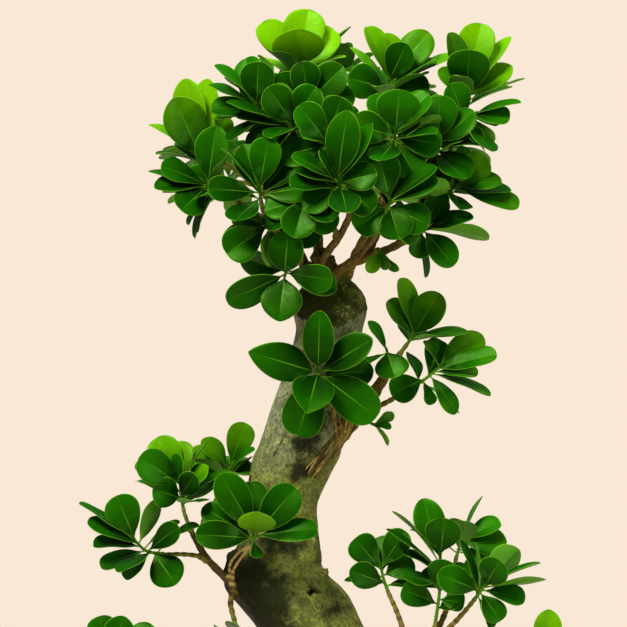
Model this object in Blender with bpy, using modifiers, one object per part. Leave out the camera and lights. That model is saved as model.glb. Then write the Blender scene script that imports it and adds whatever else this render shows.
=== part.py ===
"""Grafted ficus bonsai in a plain oval pot: pot, drain screens, soil, trunk, branches and leafy shoots.

+Z is up and the origin is the centre of the pot's flat base. The tree's front faces -Y, its right is +X.
The numbers below are millimetres and degrees. MM turns them into metres where a mesh is made.
"""

import math
from collections import namedtuple

import bmesh
import bpy
import numpy as np
from mathutils import Vector
from mathutils.bvhtree import BVHTree

MM = 0.001
GAP = 0.4  # clearance between pieces that touch

# Pot: an oval, so every radius below is along X, and Y is squeezed by POT_SQUEEZE.
POT_SQUEEZE = 0.78
POT_HEIGHT = 98.0
POT_BASE_RADIUS = 108.0
POT_TOP_RADIUS = 126.0
POT_RIM_RADIUS = 133.0
POT_RIM_DEPTH = 15.0
POT_WALL = 9.0
POT_FLOOR = 13.0
POT_EDGE = 3.0  # how far the rim's and the foot's edges are bevelled
POT_CORNER = 4.0  # bevel between floor and wall, and under the rim
POT_FOOT = 5.0  # height of the slant round the foot
RIM_UNDERCUT = 2.0
TURN_STEPS = 32
DRAIN_RADIUS = 11.0
DRAIN_SIDES = 24
DRAIN_OFFSET = 52.0
SCREEN_SIDE = 34.0
SCREEN_CELLS = 4
SCREEN_STRAND = 2.0
RECESS_SIDE = 38.0  # hollow in the soil round a drain screen
RECESS_HEIGHT = 7.0
SOIL_EDGE = 84.0
SOIL_MOUND = ((0.0, 6.0), (60.0, 5.0), (96.0, 2.0))  # radius, and height above the soil's edge

# Trunk centre line from below the soil to the top of the callus dome: x, y, z, radius.
TRUNK = (
    (0, 0, 45, 50),
    (0, 0, 68, 60),
    (1, 0, 92, 61),
    (5, -1, 118, 53),
    (12, -2, 145, 47),
    (19, -4, 175, 44),
    (20, -6, 205, 42),
    (11, -6, 238, 39.5),
    (-7, -4, 266, 42),
    (-21, -2, 287, 45),
    (-35, 1, 306, 43.5),
    (-39, 3, 320, 40.5),
    (-36, 4, 333, 36),
    (-33, 4, 350, 32),
    (-31, 3, 377, 31),
    (-23, 1, 404, 35),
    (-16, -1, 423, 36),
    (-11, -2, 447, 33.5),
    (-1, -2, 482, 31),
    (6, -1, 509, 29.5),
    (10, 0, 526, 29.5),
    (11, 0, 541, 32.5),
)
DOME_RADIUS = 32.5
DOME_RINGS = 5
DOME_OPEN = 0.3  # share of a ring left flat at the very top
DOME_TEST = 4  # rings of the dome that leaves are tested against
ROOT_COUNT = 8
ROOT_RADIUS = 15.0
TRUNK_RESOLUTION = 4  # 12 sides

# Roots: each leaves the trunk's foot, runs out over the soil and dives into it.
ROOT_START = (30.0, 116.0)  # distance from the trunk's axis, height
ROOT_SHOULDER = (56.0, 101.0)
ROOT_BACK = (74.0, 92.0)
ROOT_END_HEIGHT = 80.0
ROOT_REACH = 96.0
ROOT_REACH_SPREAD = 6.0
ROOT_BEND = 9.0
ROOT_TAPER = 0.6
ROOT_SHIFT = 0.35  # how far a root strays from even spacing, as a share of that spacing
ROOT_SIZES = (0.82, 0.18)  # mean size of a root's foot and how much it varies
ROOT_RATES = (2.1, 1.7, 3.3, 2.7)  # how fast the angle, reach, bend and size vary from root to root

# Branches, twigs and green stems.
LIMB_SPANS = 2  # steps between two points of a branch's path
LIMB_RESOLUTION = 1  # 6 sides
CURVE_REACH = 0.38  # handle length of a twig's curve, as a share of its chord
LEAVE_AT_END = 0.35  # how far a twig turns towards its tip as it leaves a branch's end
LEAVE_AT_SIDE = 1.2  # the same for one that leaves a branch's side
TWIG_STEPS = 24
TWIG_POINTS = 4
TWIG_SHARE = 0.7  # a twig's radius at its foot, as a share of its branch's radius there
TWIG_WIDEST = 3.0
TWIG_END = 1.9
STEM_START = 1.6
STEM_END = 1.1
STEM_POINTS = 3
STEM_RESOLUTION = 0  # 4 sides
STEM_FACE = 1.5  # the end of a woody twig that lies in line with its green stem
BUD_LENGTH = 7.0
BUD_POINT = 0.3
STEM_TOP = 1.0  # the youngest leaf's distance from the tip of its stem
STEM_LEAFY = 0.85  # share of a stem that can carry leaves

# Each branch: its path from inside the trunk outwards, and its radius at each end.
Limb = namedtuple("Limb", "path start end")
LIMBS = {
    "branch_crown_right": Limb(
        ((10, -12, 558), (17, -23, 577), (32, -33, 586), (56, -42, 595), (84, -48, 609), (106, -49, 627)),
        4.8, 2.8
    ),
    "branch_crown_centre": Limb(
        ((3, -16, 556), (5, -28, 588), (17, -42, 606), (27, -58, 626), (25, -76, 640)), 4.2, 2.6
    ),
    "branch_crown_left": Limb(
        ((-8, -6, 556), (-15, -16, 592), (-34, -27, 612), (-58, -35, 630), (-80, -38, 646)), 5.0, 2.8
    ),
    "branch_crown_up": Limb(
        ((4, 3, 560), (0, 0, 602), (-2, -8, 645), (-8, -12, 690), (-13, -15, 712)), 5.6, 2.8
    ),
    "branch_crown_back_left": Limb(
        ((-2, 18, 556), (-16, 34, 594), (-36, 54, 630), (-50, 68, 664)), 4.8, 2.8
    ),
    "branch_crown_back_right": Limb(
        ((20, 14, 556), (32, 32, 590), (50, 56, 626), (64, 72, 662)), 4.8, 2.8
    ),
    "branch_right_mid": Limb(
        ((4, -10, 418), (21, -13, 438), (37, -15, 455), (53, -17, 477), (68, -18, 500)), 11.0, 3.0
    ),
    "branch_left": Limb(
        ((-34, -8, 272), (-60, -18, 287), (-79, -26, 307), (-98, -32, 327), (-111, -36, 350)), 5.2, 2.5
    ),
    "branch_lower_right": Limb(((34, -12, 226), (60, -18, 232), (84, -22, 242), (104, -26, 256)), 7.0, 3.8),
    "branch_lower_left": Limb(
        ((-8, -12, 204), (-34, -18, 206), (-80, -26, 212), (-124, -30, 218), (-150, -32, 222)), 7.0, 2.8
    ),
}

# A leaf seen from the front: angle in the XZ plane (0 is +X, 90 is +Z), reach and width, tilt towards the
# front, and roll about its own midrib (0 shows the upper face, 90 the edge, more shows the underside).
# Each shoot leaves its branch at a fraction `at`, ends at `tip` growing along `axis`, and lists its leaves
# from the youngest to the oldest. `fill` more leaves spiral round its far side.
Shoot = namedtuple("Shoot", "limb at tip axis fill leaves step green", defaults=((), 2.6, 17.0))
SHOOTS = {
    "shoot_front": Shoot("branch_right_mid", 0.36, (0, -66, 491), (0, -0.9, 0.35), 0, (
        (88, 52, 28, 15, 6), (254, 36, 37, 40, 5), (32, 54, 30, 14, 30), (163, 63, 32, 6, 8),
        (323, 61, 36, 2, 5), (250, 55, 37, -9, 11), (4, 46, 28, -12, 15)), 1.6),
    "shoot_hanging": Shoot("branch_crown_left", 0.22, (-29, -84, 573), (-0.1, -0.85, -0.4), 2, (
        (85, 40, 31, 12, 10), (263, 40, 34, 18, 8), (204, 55, 28, 8, 28), (352, 40, 26, 10, 25),
        (160, 42, 26, -14, 35))),
    "shoot_left_tip": Shoot("branch_crown_left", 1.0, (-104, -50, 680), (-0.35, -0.3, 0.9), 5, (
        (84, 66, 28, -12, 12), (101, 68, 28, -4, 10), (114, 56, 38, 16, 8), (147, 54, 24, 0, 72),
        (130, 46, 24, -25, 30), (62, 44, 26, -14, 24))),
    "shoot_left_side": Shoot("branch_crown_left", 0.78, (-98, -62, 652), (-0.9, -0.3, 0.15), 5, (
        (225, 30, 28, 42, 10), (82, 52, 31, -2, 8), (158, 44, 28, 15, 50), (166, 54, 26, 0, 74),
        (176, 48, 26, 8, 55), (186, 42, 25, -6, 115), (200, 40, 24, -10, 104), (236, 38, 22, 0, 80),
        (250, 40, 24, 6, 74), (196, 36, 26, -22, 60))),
    "shoot_left_front": Shoot("branch_crown_left", 0.5, (-51, -98, 648), (-0.1, -0.75, 0.65), 4, (
        (133, 48, 24, 12, 80), (80, 46, 28, 10, 12), (176, 44, 25, 16, 26), (108, 44, 28, -2, 14),
        (52, 42, 28, -6, 15), (10, 40, 26, 0, 25))),
    "shoot_left_under": Shoot("branch_crown_left", 0.36, (-44, -84, 616), (-0.3, -0.8, -0.25), 3, (
        (213, 42, 32, 15, 6), (268, 34, 24, 0, 120), (292, 38, 26, 8, 30), (150, 36, 26, -10, 20))),
    "shoot_inner_left": Shoot("branch_crown_up", 0.8, (-22, -80, 706), (-0.3, -0.7, 0.65), 5, (
        (125, 38, 28, 16, 8), (162, 60, 26, 5, 74), (60, 38, 28, 12, 12), (170, 50, 26, -4, 62),
        (268, 38, 28, 20, 10), (205, 44, 28, 2, 28), (330, 38, 26, 6, 15))),
    "shoot_upper_left": Shoot("branch_crown_up", 0.7, (-54, -62, 722), (-0.55, -0.4, 0.75), 5, (
        (88, 38, 30, 16, 6), (136, 52, 24, 0, 72), (155, 47, 24, 2, 72), (104, 46, 28, -18, 25),
        (178, 42, 26, 10, 40), (62, 36, 26, -6, 30))),
    "shoot_peak_left": Shoot("branch_crown_up", 1.0, (-18, -24, 757), (0.05, -0.15, 1), 5, (
        (90, 33, 45, 42, 5), (80, 53, 36, -6, 6), (126, 52, 29, -4, 18), (112, 52, 24, -10, 60),
        (52, 50, 31, -10, 20), (48, 62, 24, -20, 80))),
    "shoot_peak_front": Shoot("branch_crown_up", 0.92, (-9, -64, 725), (0.1, -0.6, 0.8), 4, (
        (97, 36, 27, 16, 6), (46, 44, 30, 10, 14), (136, 38, 28, 4, 10), (14, 42, 28, 0, 16),
        (184, 38, 26, 5, 30))),
    "shoot_centre_front": Shoot("branch_crown_centre", 1.0, (18, -116, 656), (0, -0.75, 0.65), 5, (
        (82, 60, 30, 12, 22), (60, 57, 28, 4, 50), (151, 46, 25, 6, 62), (164, 40, 24, 0, 70),
        (16, 33, 25, 16, 18), (322, 36, 27, 10, 14), (214, 36, 26, 8, 30))),
    "shoot_centre_upper": Shoot("branch_crown_up", 0.55, (8, -92, 690), (0, -0.8, 0.6), 5, (
        (72, 40, 28, 14, 10), (128, 40, 28, 8, 12), (196, 42, 28, 4, 24), (18, 38, 26, 6, 20),
        (256, 36, 28, 20, 8), (310, 38, 26, 8, 14))),
    "shoot_centre_low": Shoot("branch_crown_centre", 0.5, (-10, -94, 642), (-0.2, -0.8, 0.4), 5, (
        (252, 36, 30, 20, 8), (110, 38, 26, 10, 14), (196, 38, 26, 4, 24), (306, 34, 26, 8, 16),
        (30, 34, 24, -4, 30))),
    "shoot_middle_front": Shoot("branch_crown_right", 0.42, (67, -98, 698), (0.1, -0.75, 0.65), 4, (
        (85, 37, 36, 15, 5), (54, 44, 26, 10, 40), (24, 42, 24, 0, 112), (165, 38, 30, 5, 10),
        (350, 40, 28, 5, 30), (216, 38, 28, 6, 15), (300, 36, 28, 12, 14))),
    "shoot_right_front": Shoot("branch_crown_right", 0.34, (62, -112, 638), (0.15, -0.8, 0.5), 4, (
        (108, 40, 30, 10, 10), (36, 50, 26, 5, 58), (26, 46, 24, 8, 50), (20, 54, 28, -6, 118),
        (288, 30, 30, 15, 8), (214, 34, 29, 10, 8), (336, 38, 28, 6, 20))),
    "shoot_peak_middle": Shoot("branch_crown_right", 0.5, (62, -28, 745), (0.1, -0.2, 1), 5, (
        (65, 36, 27, 20, 14), (112, 52, 28, 0, 48), (52, 57, 30, -6, 24), (94, 46, 26, -16, 30),
        (32, 61, 26, 2, 72), (40, 50, 26, 8, 66), (164, 36, 32, 16, 10), (136, 50, 24, -6, 70),
        (152, 42, 26, 0, 76), (10, 36, 26, 12, 30))),
    "shoot_inner_right": Shoot("branch_crown_right", 0.7, (104, -78, 690), (0.3, -0.7, 0.6), 5, (
        (92, 40, 30, 14, 10), (40, 42, 28, 6, 40), (140, 40, 28, 6, 14), (2, 42, 26, 0, 60),
        (200, 38, 28, 4, 20), (270, 36, 28, 14, 12), (322, 38, 26, 2, 40))),
    "shoot_peak_right": Shoot("branch_crown_right", 0.96, (130, -40, 735), (0.05, -0.2, 1), 4, (
        (78, 61, 32, -5, 10), (99, 62, 28, 0, 40), (53, 64, 26, -6, 66), (40, 48, 26, 2, 40),
        (82, 42, 36, 30, 6), (26, 54, 24, 6, 84), (129, 38, 24, 6, 48))),
    "shoot_right_upper": Shoot("branch_crown_right", 0.88, (134, -68, 714), (0.7, -0.4, 0.5), 4, (
        (14, 44, 24, 0, 74), (6, 34, 24, 10, 50), (176, 38, 29, 10, 12), (318, 30, 22, 0, 115),
        (204, 36, 28, 4, 20), (296, 36, 26, 5, 28), (110, 34, 26, 10, 24))),
    "shoot_right_side": Shoot("branch_crown_right", 1.0, (121, -60, 652), (0.8, -0.35, 0.4), 3, (
        (47, 36, 27, 6, 12), (6, 40, 24, 6, 48), (345, 57, 25, 0, 48), (78, 34, 22, -4, 24),
        (354, 50, 25, -10, 60), (108, 36, 26, -6, 20)), 2.2, 11.0),
    "shoot_right_low": Shoot("branch_crown_right", 0.72, (94, -84, 614), (0.8, -0.5, 0.1), 3, (
        (14, 42, 24, 6, 52), (352, 56, 24, -2, 116), (310, 40, 26, 8, 26), (262, 24, 19, 6, 14),
        (62, 36, 26, 0, 28), (150, 32, 26, 10, 20))),
    "shoot_under": Shoot("branch_crown_right", 0.5, (54, -56, 595), (0, -0.5, -0.8), 0, (
        (240, 21, 14, 8, 18), (296, 18, 12, 2, 34), (312, 25, 13, -4, 60)), 1.6, 8.0),
    "shoot_back_side_left": Shoot("branch_crown_back_left", 0.72, (-106, 22, 688), (-0.8, 0.25, 0.5), 11),
    "shoot_back_low_left": Shoot("branch_crown_back_left", 0.84, (-86, 88, 662), (-0.6, 0.75, 0.25), 11),
    "shoot_back_upper_left": Shoot("branch_crown_back_left", 1.0, (-48, 62, 736), (-0.35, 0.45, 0.85), 9),
    "shoot_back_centre": Shoot("branch_crown_back_left", 0.6, (-10, 116, 684), (-0.1, 0.9, 0.4), 11),
    "shoot_back_top": Shoot("branch_crown_up", 0.86, (18, 44, 752), (0.1, 0.3, 0.95), 11),
    "shoot_back_low_right": Shoot("branch_crown_back_right", 0.6, (50, 118, 664), (0.25, 0.9, 0.2), 11),
    "shoot_back_upper_right": Shoot("branch_crown_back_right", 1.0, (68, 84, 734), (0.35, 0.55, 0.75), 10),
    "shoot_back_side_right": Shoot("branch_crown_back_right", 0.86, (118, 50, 690), (0.8, 0.4, 0.4), 11),
    "shoot_right_mid_upper": Shoot("branch_right_mid", 1.0, (84, -24, 523), (0.5, -0.2, 0.85), 2, (
        (102, 50, 24, 0, 46), (57, 44, 29, 6, 8), (122, 38, 24, 6, 42), (6, 50, 24, 8, 66),
        (96, 32, 22, -12, 66)), 3.0, 12.0),
    "shoot_right_mid_outer": Shoot("branch_right_mid", 0.26, (107, -32, 495), (0.7, -0.2, 0.7), 2, (
        (110, 32, 24, 6, 74), (43, 55, 30, 0, 10), (9, 54, 24, 5, 42), (357, 38, 22, 10, 62),
        (340, 54, 24, 0, 68), (304, 40, 24, 2, 52), (70, 34, 26, -16, 20), (204, 32, 26, -4, 14),
        (286, 22, 18, 6, 56)), 3.2, 30.0),
    "shoot_right_mid_near": Shoot("branch_right_mid", 0.82, (60, -48, 509), (-0.1, -0.85, 0.4), 0, (
        (286, 24, 29, 32, 5), (122, 31, 20, 0, 62), (206, 34, 22, -4, 70))),
    "shoot_right_mid_low": Shoot("branch_right_mid", 0.36, (50, -41, 443), (0.6, -0.6, -0.3), 0, (
        (302, 21, 16, 4, 106), (32, 20, 14, 10, 48), (348, 17, 12, -4, 60)), 1.8, 11.0),
    "shoot_left_outer": Shoot("branch_left", 0.72, (-160, -54, 343), (-0.45, -0.3, 0.8), 2, (
        (113, 42, 30, 6, 5), (146, 60, 22, 0, 76), (65, 43, 24, -8, 128), (155, 50, 24, 5, 60),
        (178, 42, 24, 6, 60), (36, 38, 22, -12, 108), (199, 41, 24, 5, 56), (38, 43, 26, 8, 22),
        (226, 32, 24, 2, 48), (306, 34, 30, 15, 5)), 2.6, 30.0),
    "shoot_left_upper": Shoot("branch_left", 1.0, (-121, -44, 394), (-0.05, -0.2, 1), 4, (
        (88, 24, 20, 34, 55), (146, 42, 30, 22, 12), (116, 46, 29, -10, 8), (90, 40, 25, -16, 18),
        (65, 48, 22, -5, 80), (42, 32, 22, 6, 50), (150, 46, 24, -15, 124), (146, 48, 20, -24, 80),
        (58, 30, 25, 24, 14), (160, 26, 27, 14, 10)), 3.2, 26.0),
    "shoot_left_inner": Shoot("branch_left", 0.86, (-78, 10, 407), (0.1, 0.1, 1), 5, (
        (69, 40, 23, 2, 10), (134, 34, 21, 4, 42), (37, 36, 20, 0, 70), (157, 38, 25, 5, 22),
        (8, 22, 20, 6, 48), (208, 38, 25, 0, 28)), 2.6, 16.0),
    "shoot_left_front_low": Shoot("branch_left", 0.44, (-54, -80, 350), (0.1, -0.75, 0.6), 0, (
        (85, 20, 32, 48, 5), (120, 60, 29, 6, 12), (50, 54, 31, 6, 8), (7, 54, 24, 8, 38),
        (176, 50, 26, 8, 12), (148, 52, 28, -5, 14), (92, 50, 27, -14, 14), (280, 14, 16, 14, 50))),
    "shoot_left_low": Shoot("branch_left", 0.4, (-70, -34, 246), (-0.2, -0.3, -0.9), 1, (
        (215, 30, 20, 5, 40), (250, 32, 22, 10, 20), (300, 28, 20, 6, 30), (172, 28, 16, 0, 62),
        (150, 24, 14, 0, 80))),
    "shoot_low_right_near": Shoot("branch_lower_right", 0.5, (55, -32, 319), (-0.15, -0.2, 1), 0, (
        (57, 38, 24, 6, 10), (130, 36, 26, 5, 8), (85, 32, 25, -20, 14), (24, 29, 25, -8, 14),
        (163, 28, 18, -12, 48), (180, 34, 18, -5, 74), (154, 33, 23, 15, 8), (5, 22, 12, 2, 50)),
        2.6, 20.0),
    "shoot_low_right_middle": Shoot("branch_lower_right", 0.84, (107, -46, 330), (0.05, -0.35, 0.95), 0, (
        (84, 33, 31, 26, 5), (106, 55, 27, -8, 10), (132, 62, 20, -5, 100), (138, 58, 18, 5, 78),
        (150, 38, 20, 2, 75), (10, 28, 24, 4, 20), (166, 34, 22, -4, 60), (138, 27, 26, 8, 12),
        (80, 31, 26, 14, 10), (338, 28, 24, 6, 20), (152, 34, 23, 8, 10), (4, 27, 19, 10, 24)), 5.0, 62.0),
    "shoot_low_right_outer": Shoot("branch_lower_right", 1.0, (146, -56, 304), (0.5, -0.5, 0.7), 2, (
        (60, 26, 27, 34, 8), (46, 44, 29, -8, 155), (7, 54, 22, 2, 108), (24, 54, 20, 0, 84),
        (352, 38, 22, 6, 38), (158, 40, 25, 10, 12), (306, 30, 21, 12, 12), (110, 48, 20, 4, 70),
        (98, 44, 20, 8, 100))),
    "shoot_low_right_back": Shoot("branch_lower_right", 0.92, (127, 6, 342), (0.35, 0.25, 0.9), 3, (
        (64, 42, 20, 0, 84), (26, 38, 23, 2, 48), (7, 40, 25, 8, 18), (105, 24, 20, 4, 60),
        (16, 46, 18, -6, 84), (330, 34, 24, -12, 20))),
    "shoot_low_right_far": Shoot("branch_lower_right", 0.6, (198, -40, 240), (0.35, -0.3, 0.85), 3, (
        (84, 42, 25, 0, 5), (146, 38, 25, 4, 22), (48, 32, 24, -4, 44), (200, 34, 24, 6, 24),
        (330, 30, 24, 6, 30), (255, 26, 24, 20, 14)), 2.4, 16.0),
    "shoot_low_left_far": Shoot("branch_lower_left", 1.0, (-180, -36, 241), (-0.25, -0.3, 0.85), 2, (
        (111, 37, 25, 0, 8), (72, 38, 27, 4, 5), (40, 44, 24, 0, 30), (170, 34, 24, 4, 30),
        (205, 32, 24, 8, 24), (262, 28, 26, 22, 10), (320, 32, 24, 6, 26)), 2.4, 16.0),
}

# Leaves that spiral round a shoot, as fractions and degrees.
GOLDEN_ANGLE = 137.5
FILL_REACH = 46.0
FILL_WIDTH = 27.0
FILL_SPREAD = (26.0, 84.0)
FILL_YOUNG = 0.68
FILL_LIGHT = 0.45  # how far the blades turn up to the light
SPIRAL_LEAST = 8  # a spiral with fewer leaves than this keeps its oldest ones
PHASE_STEP = 67.0  # turns the spiral of each shoot against that of the last

# Blade outline and cross-section.
PETIOLE = 0.12  # share of the leaf's length
OUTLINE_BASE = 0.9
OUTLINE_TIP = 0.5
PETIOLE_HALF_WIDTH = 0.85
BLADE_THICKNESS = 1.1
BLADE_MIDDLE = 0.42  # where the blade is thickest
BLADE_SHOULDER = 0.8
BLADE_FREE = 0.3  # from here out, a blade keeps clear of those on its own shoot where it can
GUARD = 1.0  # added all round a leaf when it is tested against others

# Turns and scales tried, in order, to keep a leaf clear of its neighbours: angle, tilt, scale.
NUDGES = (
    (0, 0, 1.0), (5, 6, 1.0), (-5, -6, 1.0), (0, 12, 1.0), (0, -12, 1.0), (10, 0, 0.95), (-10, 0, 0.95),
    (0, 0, 0.88), (8, 16, 0.88), (-8, -16, 0.88), (14, 0, 0.8), (-14, 0, 0.8), (0, 24, 0.8), (0, -24, 0.8),
    (0, 0, 0.7), (20, 10, 0.7), (-20, -10, 0.7), (0, 34, 0.66), (0, -34, 0.66),
)

UP = Vector((0.0, 0.0, 1.0))
FRONT = Vector((0.0, -1.0, 0.0))


# ---------------------------------------------------------------- paths and tubes


def smooth_path(points, spans):
    """Catmull-Rom curve through the points (each a Vector of any length), `spans` steps between two."""
    ends = [points[0] * 2 - points[1], *points, points[-1] * 2 - points[-2]]
    path = []
    for i in range(1, len(ends) - 2):
        a, b, c, d = ends[i - 1 : i + 3]
        for step in range(spans):
            t = step / spans
            bow, sway = a * 2 - b * 5 + c * 4 - d, b * 3 - a - c * 3 + d
            path.append((b * 2 + (c - a) * t + bow * t**2 + sway * t**3) * 0.5)
    return [*path, points[-1].copy()]


def point_along(path, share):
    """The point and direction at a share of a path's points."""
    place = share * (len(path) - 1)
    index = min(int(place), len(path) - 2)
    return path[index].lerp(path[index + 1], place - index), (path[index + 1] - path[index]).normalized()


def bezier(start, leave, arrive, end, steps):
    """Cubic curve from start to end that leaves and arrives along the unit directions given."""
    reach = (end - start).length * CURVE_REACH
    near, far = start + leave * reach, end - arrive * reach
    path = []
    for step in range(steps + 1):
        t = step / steps
        path.append(
            start * (1 - t) ** 3 + near * 3 * t * (1 - t) ** 2 + far * 3 * t * t * (1 - t) + end * t**3
        )
    return path


def limb_path(limb):
    return smooth_path([Vector(p) for p in LIMBS[limb].path], LIMB_SPANS)


def limb_radius(limb, share):
    return LIMBS[limb].start + (LIMBS[limb].end - LIMBS[limb].start) * share


def shoot_path(shoot):
    """The whole twig of a shoot, split into its woody part and its green stem."""
    start, along = point_along(limb_path(shoot.limb), shoot.at)
    tip, axis = Vector(shoot.tip), Vector(shoot.axis).normalized()
    turn = LEAVE_AT_END if shoot.at == 1.0 else LEAVE_AT_SIDE
    leave = (along + (tip - start).normalized() * turn).normalized()
    path = bezier(start, leave, axis, tip, TWIG_STEPS)
    left = 0.0
    for split in range(len(path) - 1, 0, -1):
        left += (path[split] - path[split - 1]).length
        if left > shoot.green:
            break
    split = max(split - 1, 2)
    wood, green = thinned(path[: split + 1], TWIG_POINTS), thinned(path[split:], STEM_POINTS)
    joint = (green[1] - green[0]).normalized()
    wood.insert(-1, wood[-1] - joint * STEM_FACE)
    green[0] = green[0] + joint * GAP
    return wood, green


def thinned(path, count):
    """At most `count` points of a path, evenly chosen, its ends kept."""
    count = min(count, len(path))
    return [path[round(i * (len(path) - 1) / (count - 1))].copy() for i in range(count)]


def twig_radii(shoot):
    """Radius of a shoot's woody twig at its start and end."""
    return min(TWIG_SHARE * limb_radius(shoot.limb, shoot.at), TWIG_WIDEST), TWIG_END


def tube_polygons(path, radii, sides=6):
    """Rings round a path and the faces between them: what the clearance test reads."""
    points, faces = [], []
    for index, place in enumerate(path):
        along = (path[min(index + 1, len(path) - 1)] - path[max(index - 1, 0)]).normalized()
        side = along.cross(FRONT if abs(along.y) < 0.9 else UP).normalized()
        other = along.cross(side)
        for turn in range(sides):
            angle = math.tau * turn / sides
            points.append(place + (side * math.cos(angle) + other * math.sin(angle)) * radii[index])
    for ring in range(len(path) - 1):
        for turn in range(sides):
            after = (turn + 1) % sides
            near, far = ring * sides, (ring + 1) * sides
            faces.append([near + turn, near + after, far + after, far + turn])
    return points, faces


def taper(start, end, count):
    return [start + (end - start) * i / (count - 1) for i in range(count)]


# ---------------------------------------------------------------- leaves

Leaf = namedtuple("Leaf", "base along normal length half_width")


def seen_leaf(base, row, axis, turn=0.0, tip=0.0, scale=1.0):
    """A leaf from its row: angle, reach, width, tilt and roll as seen from the front."""
    angle, reach, width, tilt, roll = row
    tilt = math.radians(max(-60.0, min(66.0, tilt + tip)))
    angle = math.radians(angle + turn)
    across = Vector((math.cos(angle), 0.0, math.sin(angle)))
    along = (across * math.cos(tilt) + FRONT * math.sin(tilt)).normalized()
    facing = (FRONT - along * along.dot(FRONT)).normalized()
    inward = along.cross(facing)
    if inward.dot(axis + UP * 0.3) < 0:
        inward = -inward
    roll = math.radians(roll)
    normal = facing * math.cos(roll) + inward * math.sin(roll)
    return Leaf(base, along, normal, reach / math.cos(tilt) * scale, width / 2 * scale)


def spiral_leaf(base, index, count, phase, axis, turn=0.0, tip=0.0, scale=1.0):
    """A leaf of the spiral round a shoot's axis: the first is the youngest and most upright."""
    age = index / max(count - 1, 1)
    spread = math.radians(FILL_SPREAD[0] + (FILL_SPREAD[1] - FILL_SPREAD[0]) * age**0.8 + tip)
    angle = math.radians(phase + GOLDEN_ANGLE * index + turn)
    side = axis.cross(FRONT if abs(axis.y) < 0.9 else UP).normalized()
    out = side * math.cos(angle) + axis.cross(side) * math.sin(angle)
    along = (axis * math.cos(spread) + out * math.sin(spread)).normalized()
    normal = axis * (1 - FILL_LIGHT) + UP * FILL_LIGHT - out * 0.2
    normal = (normal - along * along.dot(normal)).normalized()
    size = (FILL_YOUNG + (1 - FILL_YOUNG) * min(1.0, age * 1.8)) * scale
    return Leaf(base, along, normal, FILL_REACH * size, FILL_WIDTH / 2 * size)


def half_width(leaf, share):
    """Half the width at a share of the leaf's length: narrow at the base, widest past the middle."""
    blade = min(max((share - PETIOLE) / (1 - PETIOLE), 0.0), 1.0)
    widest = OUTLINE_BASE / (OUTLINE_BASE + OUTLINE_TIP)
    peak = widest**OUTLINE_BASE * (1 - widest) ** OUTLINE_TIP
    half = leaf.half_width * blade**OUTLINE_BASE * (1 - blade) ** OUTLINE_TIP / peak
    return max(half, PETIOLE_HALF_WIDTH)


def blade_polygons(leaf, start=0.0, grow=0.0):
    """Closed blade, a ridged upper face over a flat underside, from a share of its length to the tip."""
    side = leaf.along.cross(leaf.normal)
    middle = max(BLADE_MIDDLE, start + 0.2)
    points = []
    for share in (start, middle, BLADE_SHOULDER):
        place = leaf.base + leaf.along * (leaf.length * share)
        half = half_width(leaf, share) + grow
        points += [place - leaf.normal * grow + side * half, place - leaf.normal * grow - side * half]
        if share < BLADE_SHOULDER:
            points.append(place + leaf.normal * (BLADE_THICKNESS + grow))
    points.append(leaf.base + leaf.along * (leaf.length + grow) - leaf.normal * grow)
    foot_right, foot_left, foot_top, right, left, top, right_out, left_out, end = range(9)
    faces = [
        [foot_left, foot_right, foot_top],
        [foot_left, foot_top, top, left],
        [foot_top, foot_right, right, top],
        [foot_right, foot_left, left, right],
        [left, top, left_out],
        [left_out, top, end],
        [end, top, right_out],
        [right_out, top, right],
        [left, left_out, right_out, right],
        [left_out, end, right_out],
    ]
    return points, faces


def obstacle(points, faces):
    corners = np.array(points)
    return corners.min(axis=0), corners.max(axis=0), BVHTree.FromPolygons(points, faces)


def clear_of(polygons, obstacles):
    """True if the shape crosses none of the obstacles."""
    corners = np.array(polygons[0])
    low, high, tree = corners.min(axis=0), corners.max(axis=0), None
    for other_low, other_high, other_tree in obstacles:
        if (low > other_high).any() or (high < other_low).any():
            continue
        tree = tree or BVHTree.FromPolygons(*polygons)
        if tree.overlap(other_tree):
            return False
    return True


def wood_obstacles():
    """The trunk with its dome, each branch, and each woody twig of a shoot."""
    trunk = smooth_path([Vector(p) for p in TRUNK], 2)
    found = [obstacle(*tube_polygons([p.xyz for p in trunk], [p.w for p in trunk], 12))]
    shares = [i / DOME_TEST for i in range(DOME_TEST + 1)]
    dome = [trunk[-1].xyz + UP * DOME_RADIUS * share for share in shares]
    dome_radii = [DOME_RADIUS * math.sqrt(max(1 - share**2, 0.01)) for share in shares]
    found.append(obstacle(*tube_polygons(dome, dome_radii, 12)))
    for name, limb in LIMBS.items():
        path = limb_path(name)
        found.append(obstacle(*tube_polygons(path, taper(limb.start + GUARD, limb.end + GUARD, len(path)))))
    for shoot in SHOOTS.values():
        wood, _ = shoot_path(shoot)
        wide, thin = twig_radii(shoot)
        found.append(obstacle(*tube_polygons(wood, taper(wide + GUARD, thin + GUARD, len(wood)))))
    return found


def stem_outline(shoot, grow=0.0):
    """Path and radii of a green stem that narrows into its end bud."""
    _, green = shoot_path(shoot)
    bud = green[-1] + Vector(shoot.axis).normalized() * BUD_LENGTH
    return [*green, bud], [*taper(STEM_START + grow, STEM_END + grow, len(green)), BUD_POINT + grow]


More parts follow.
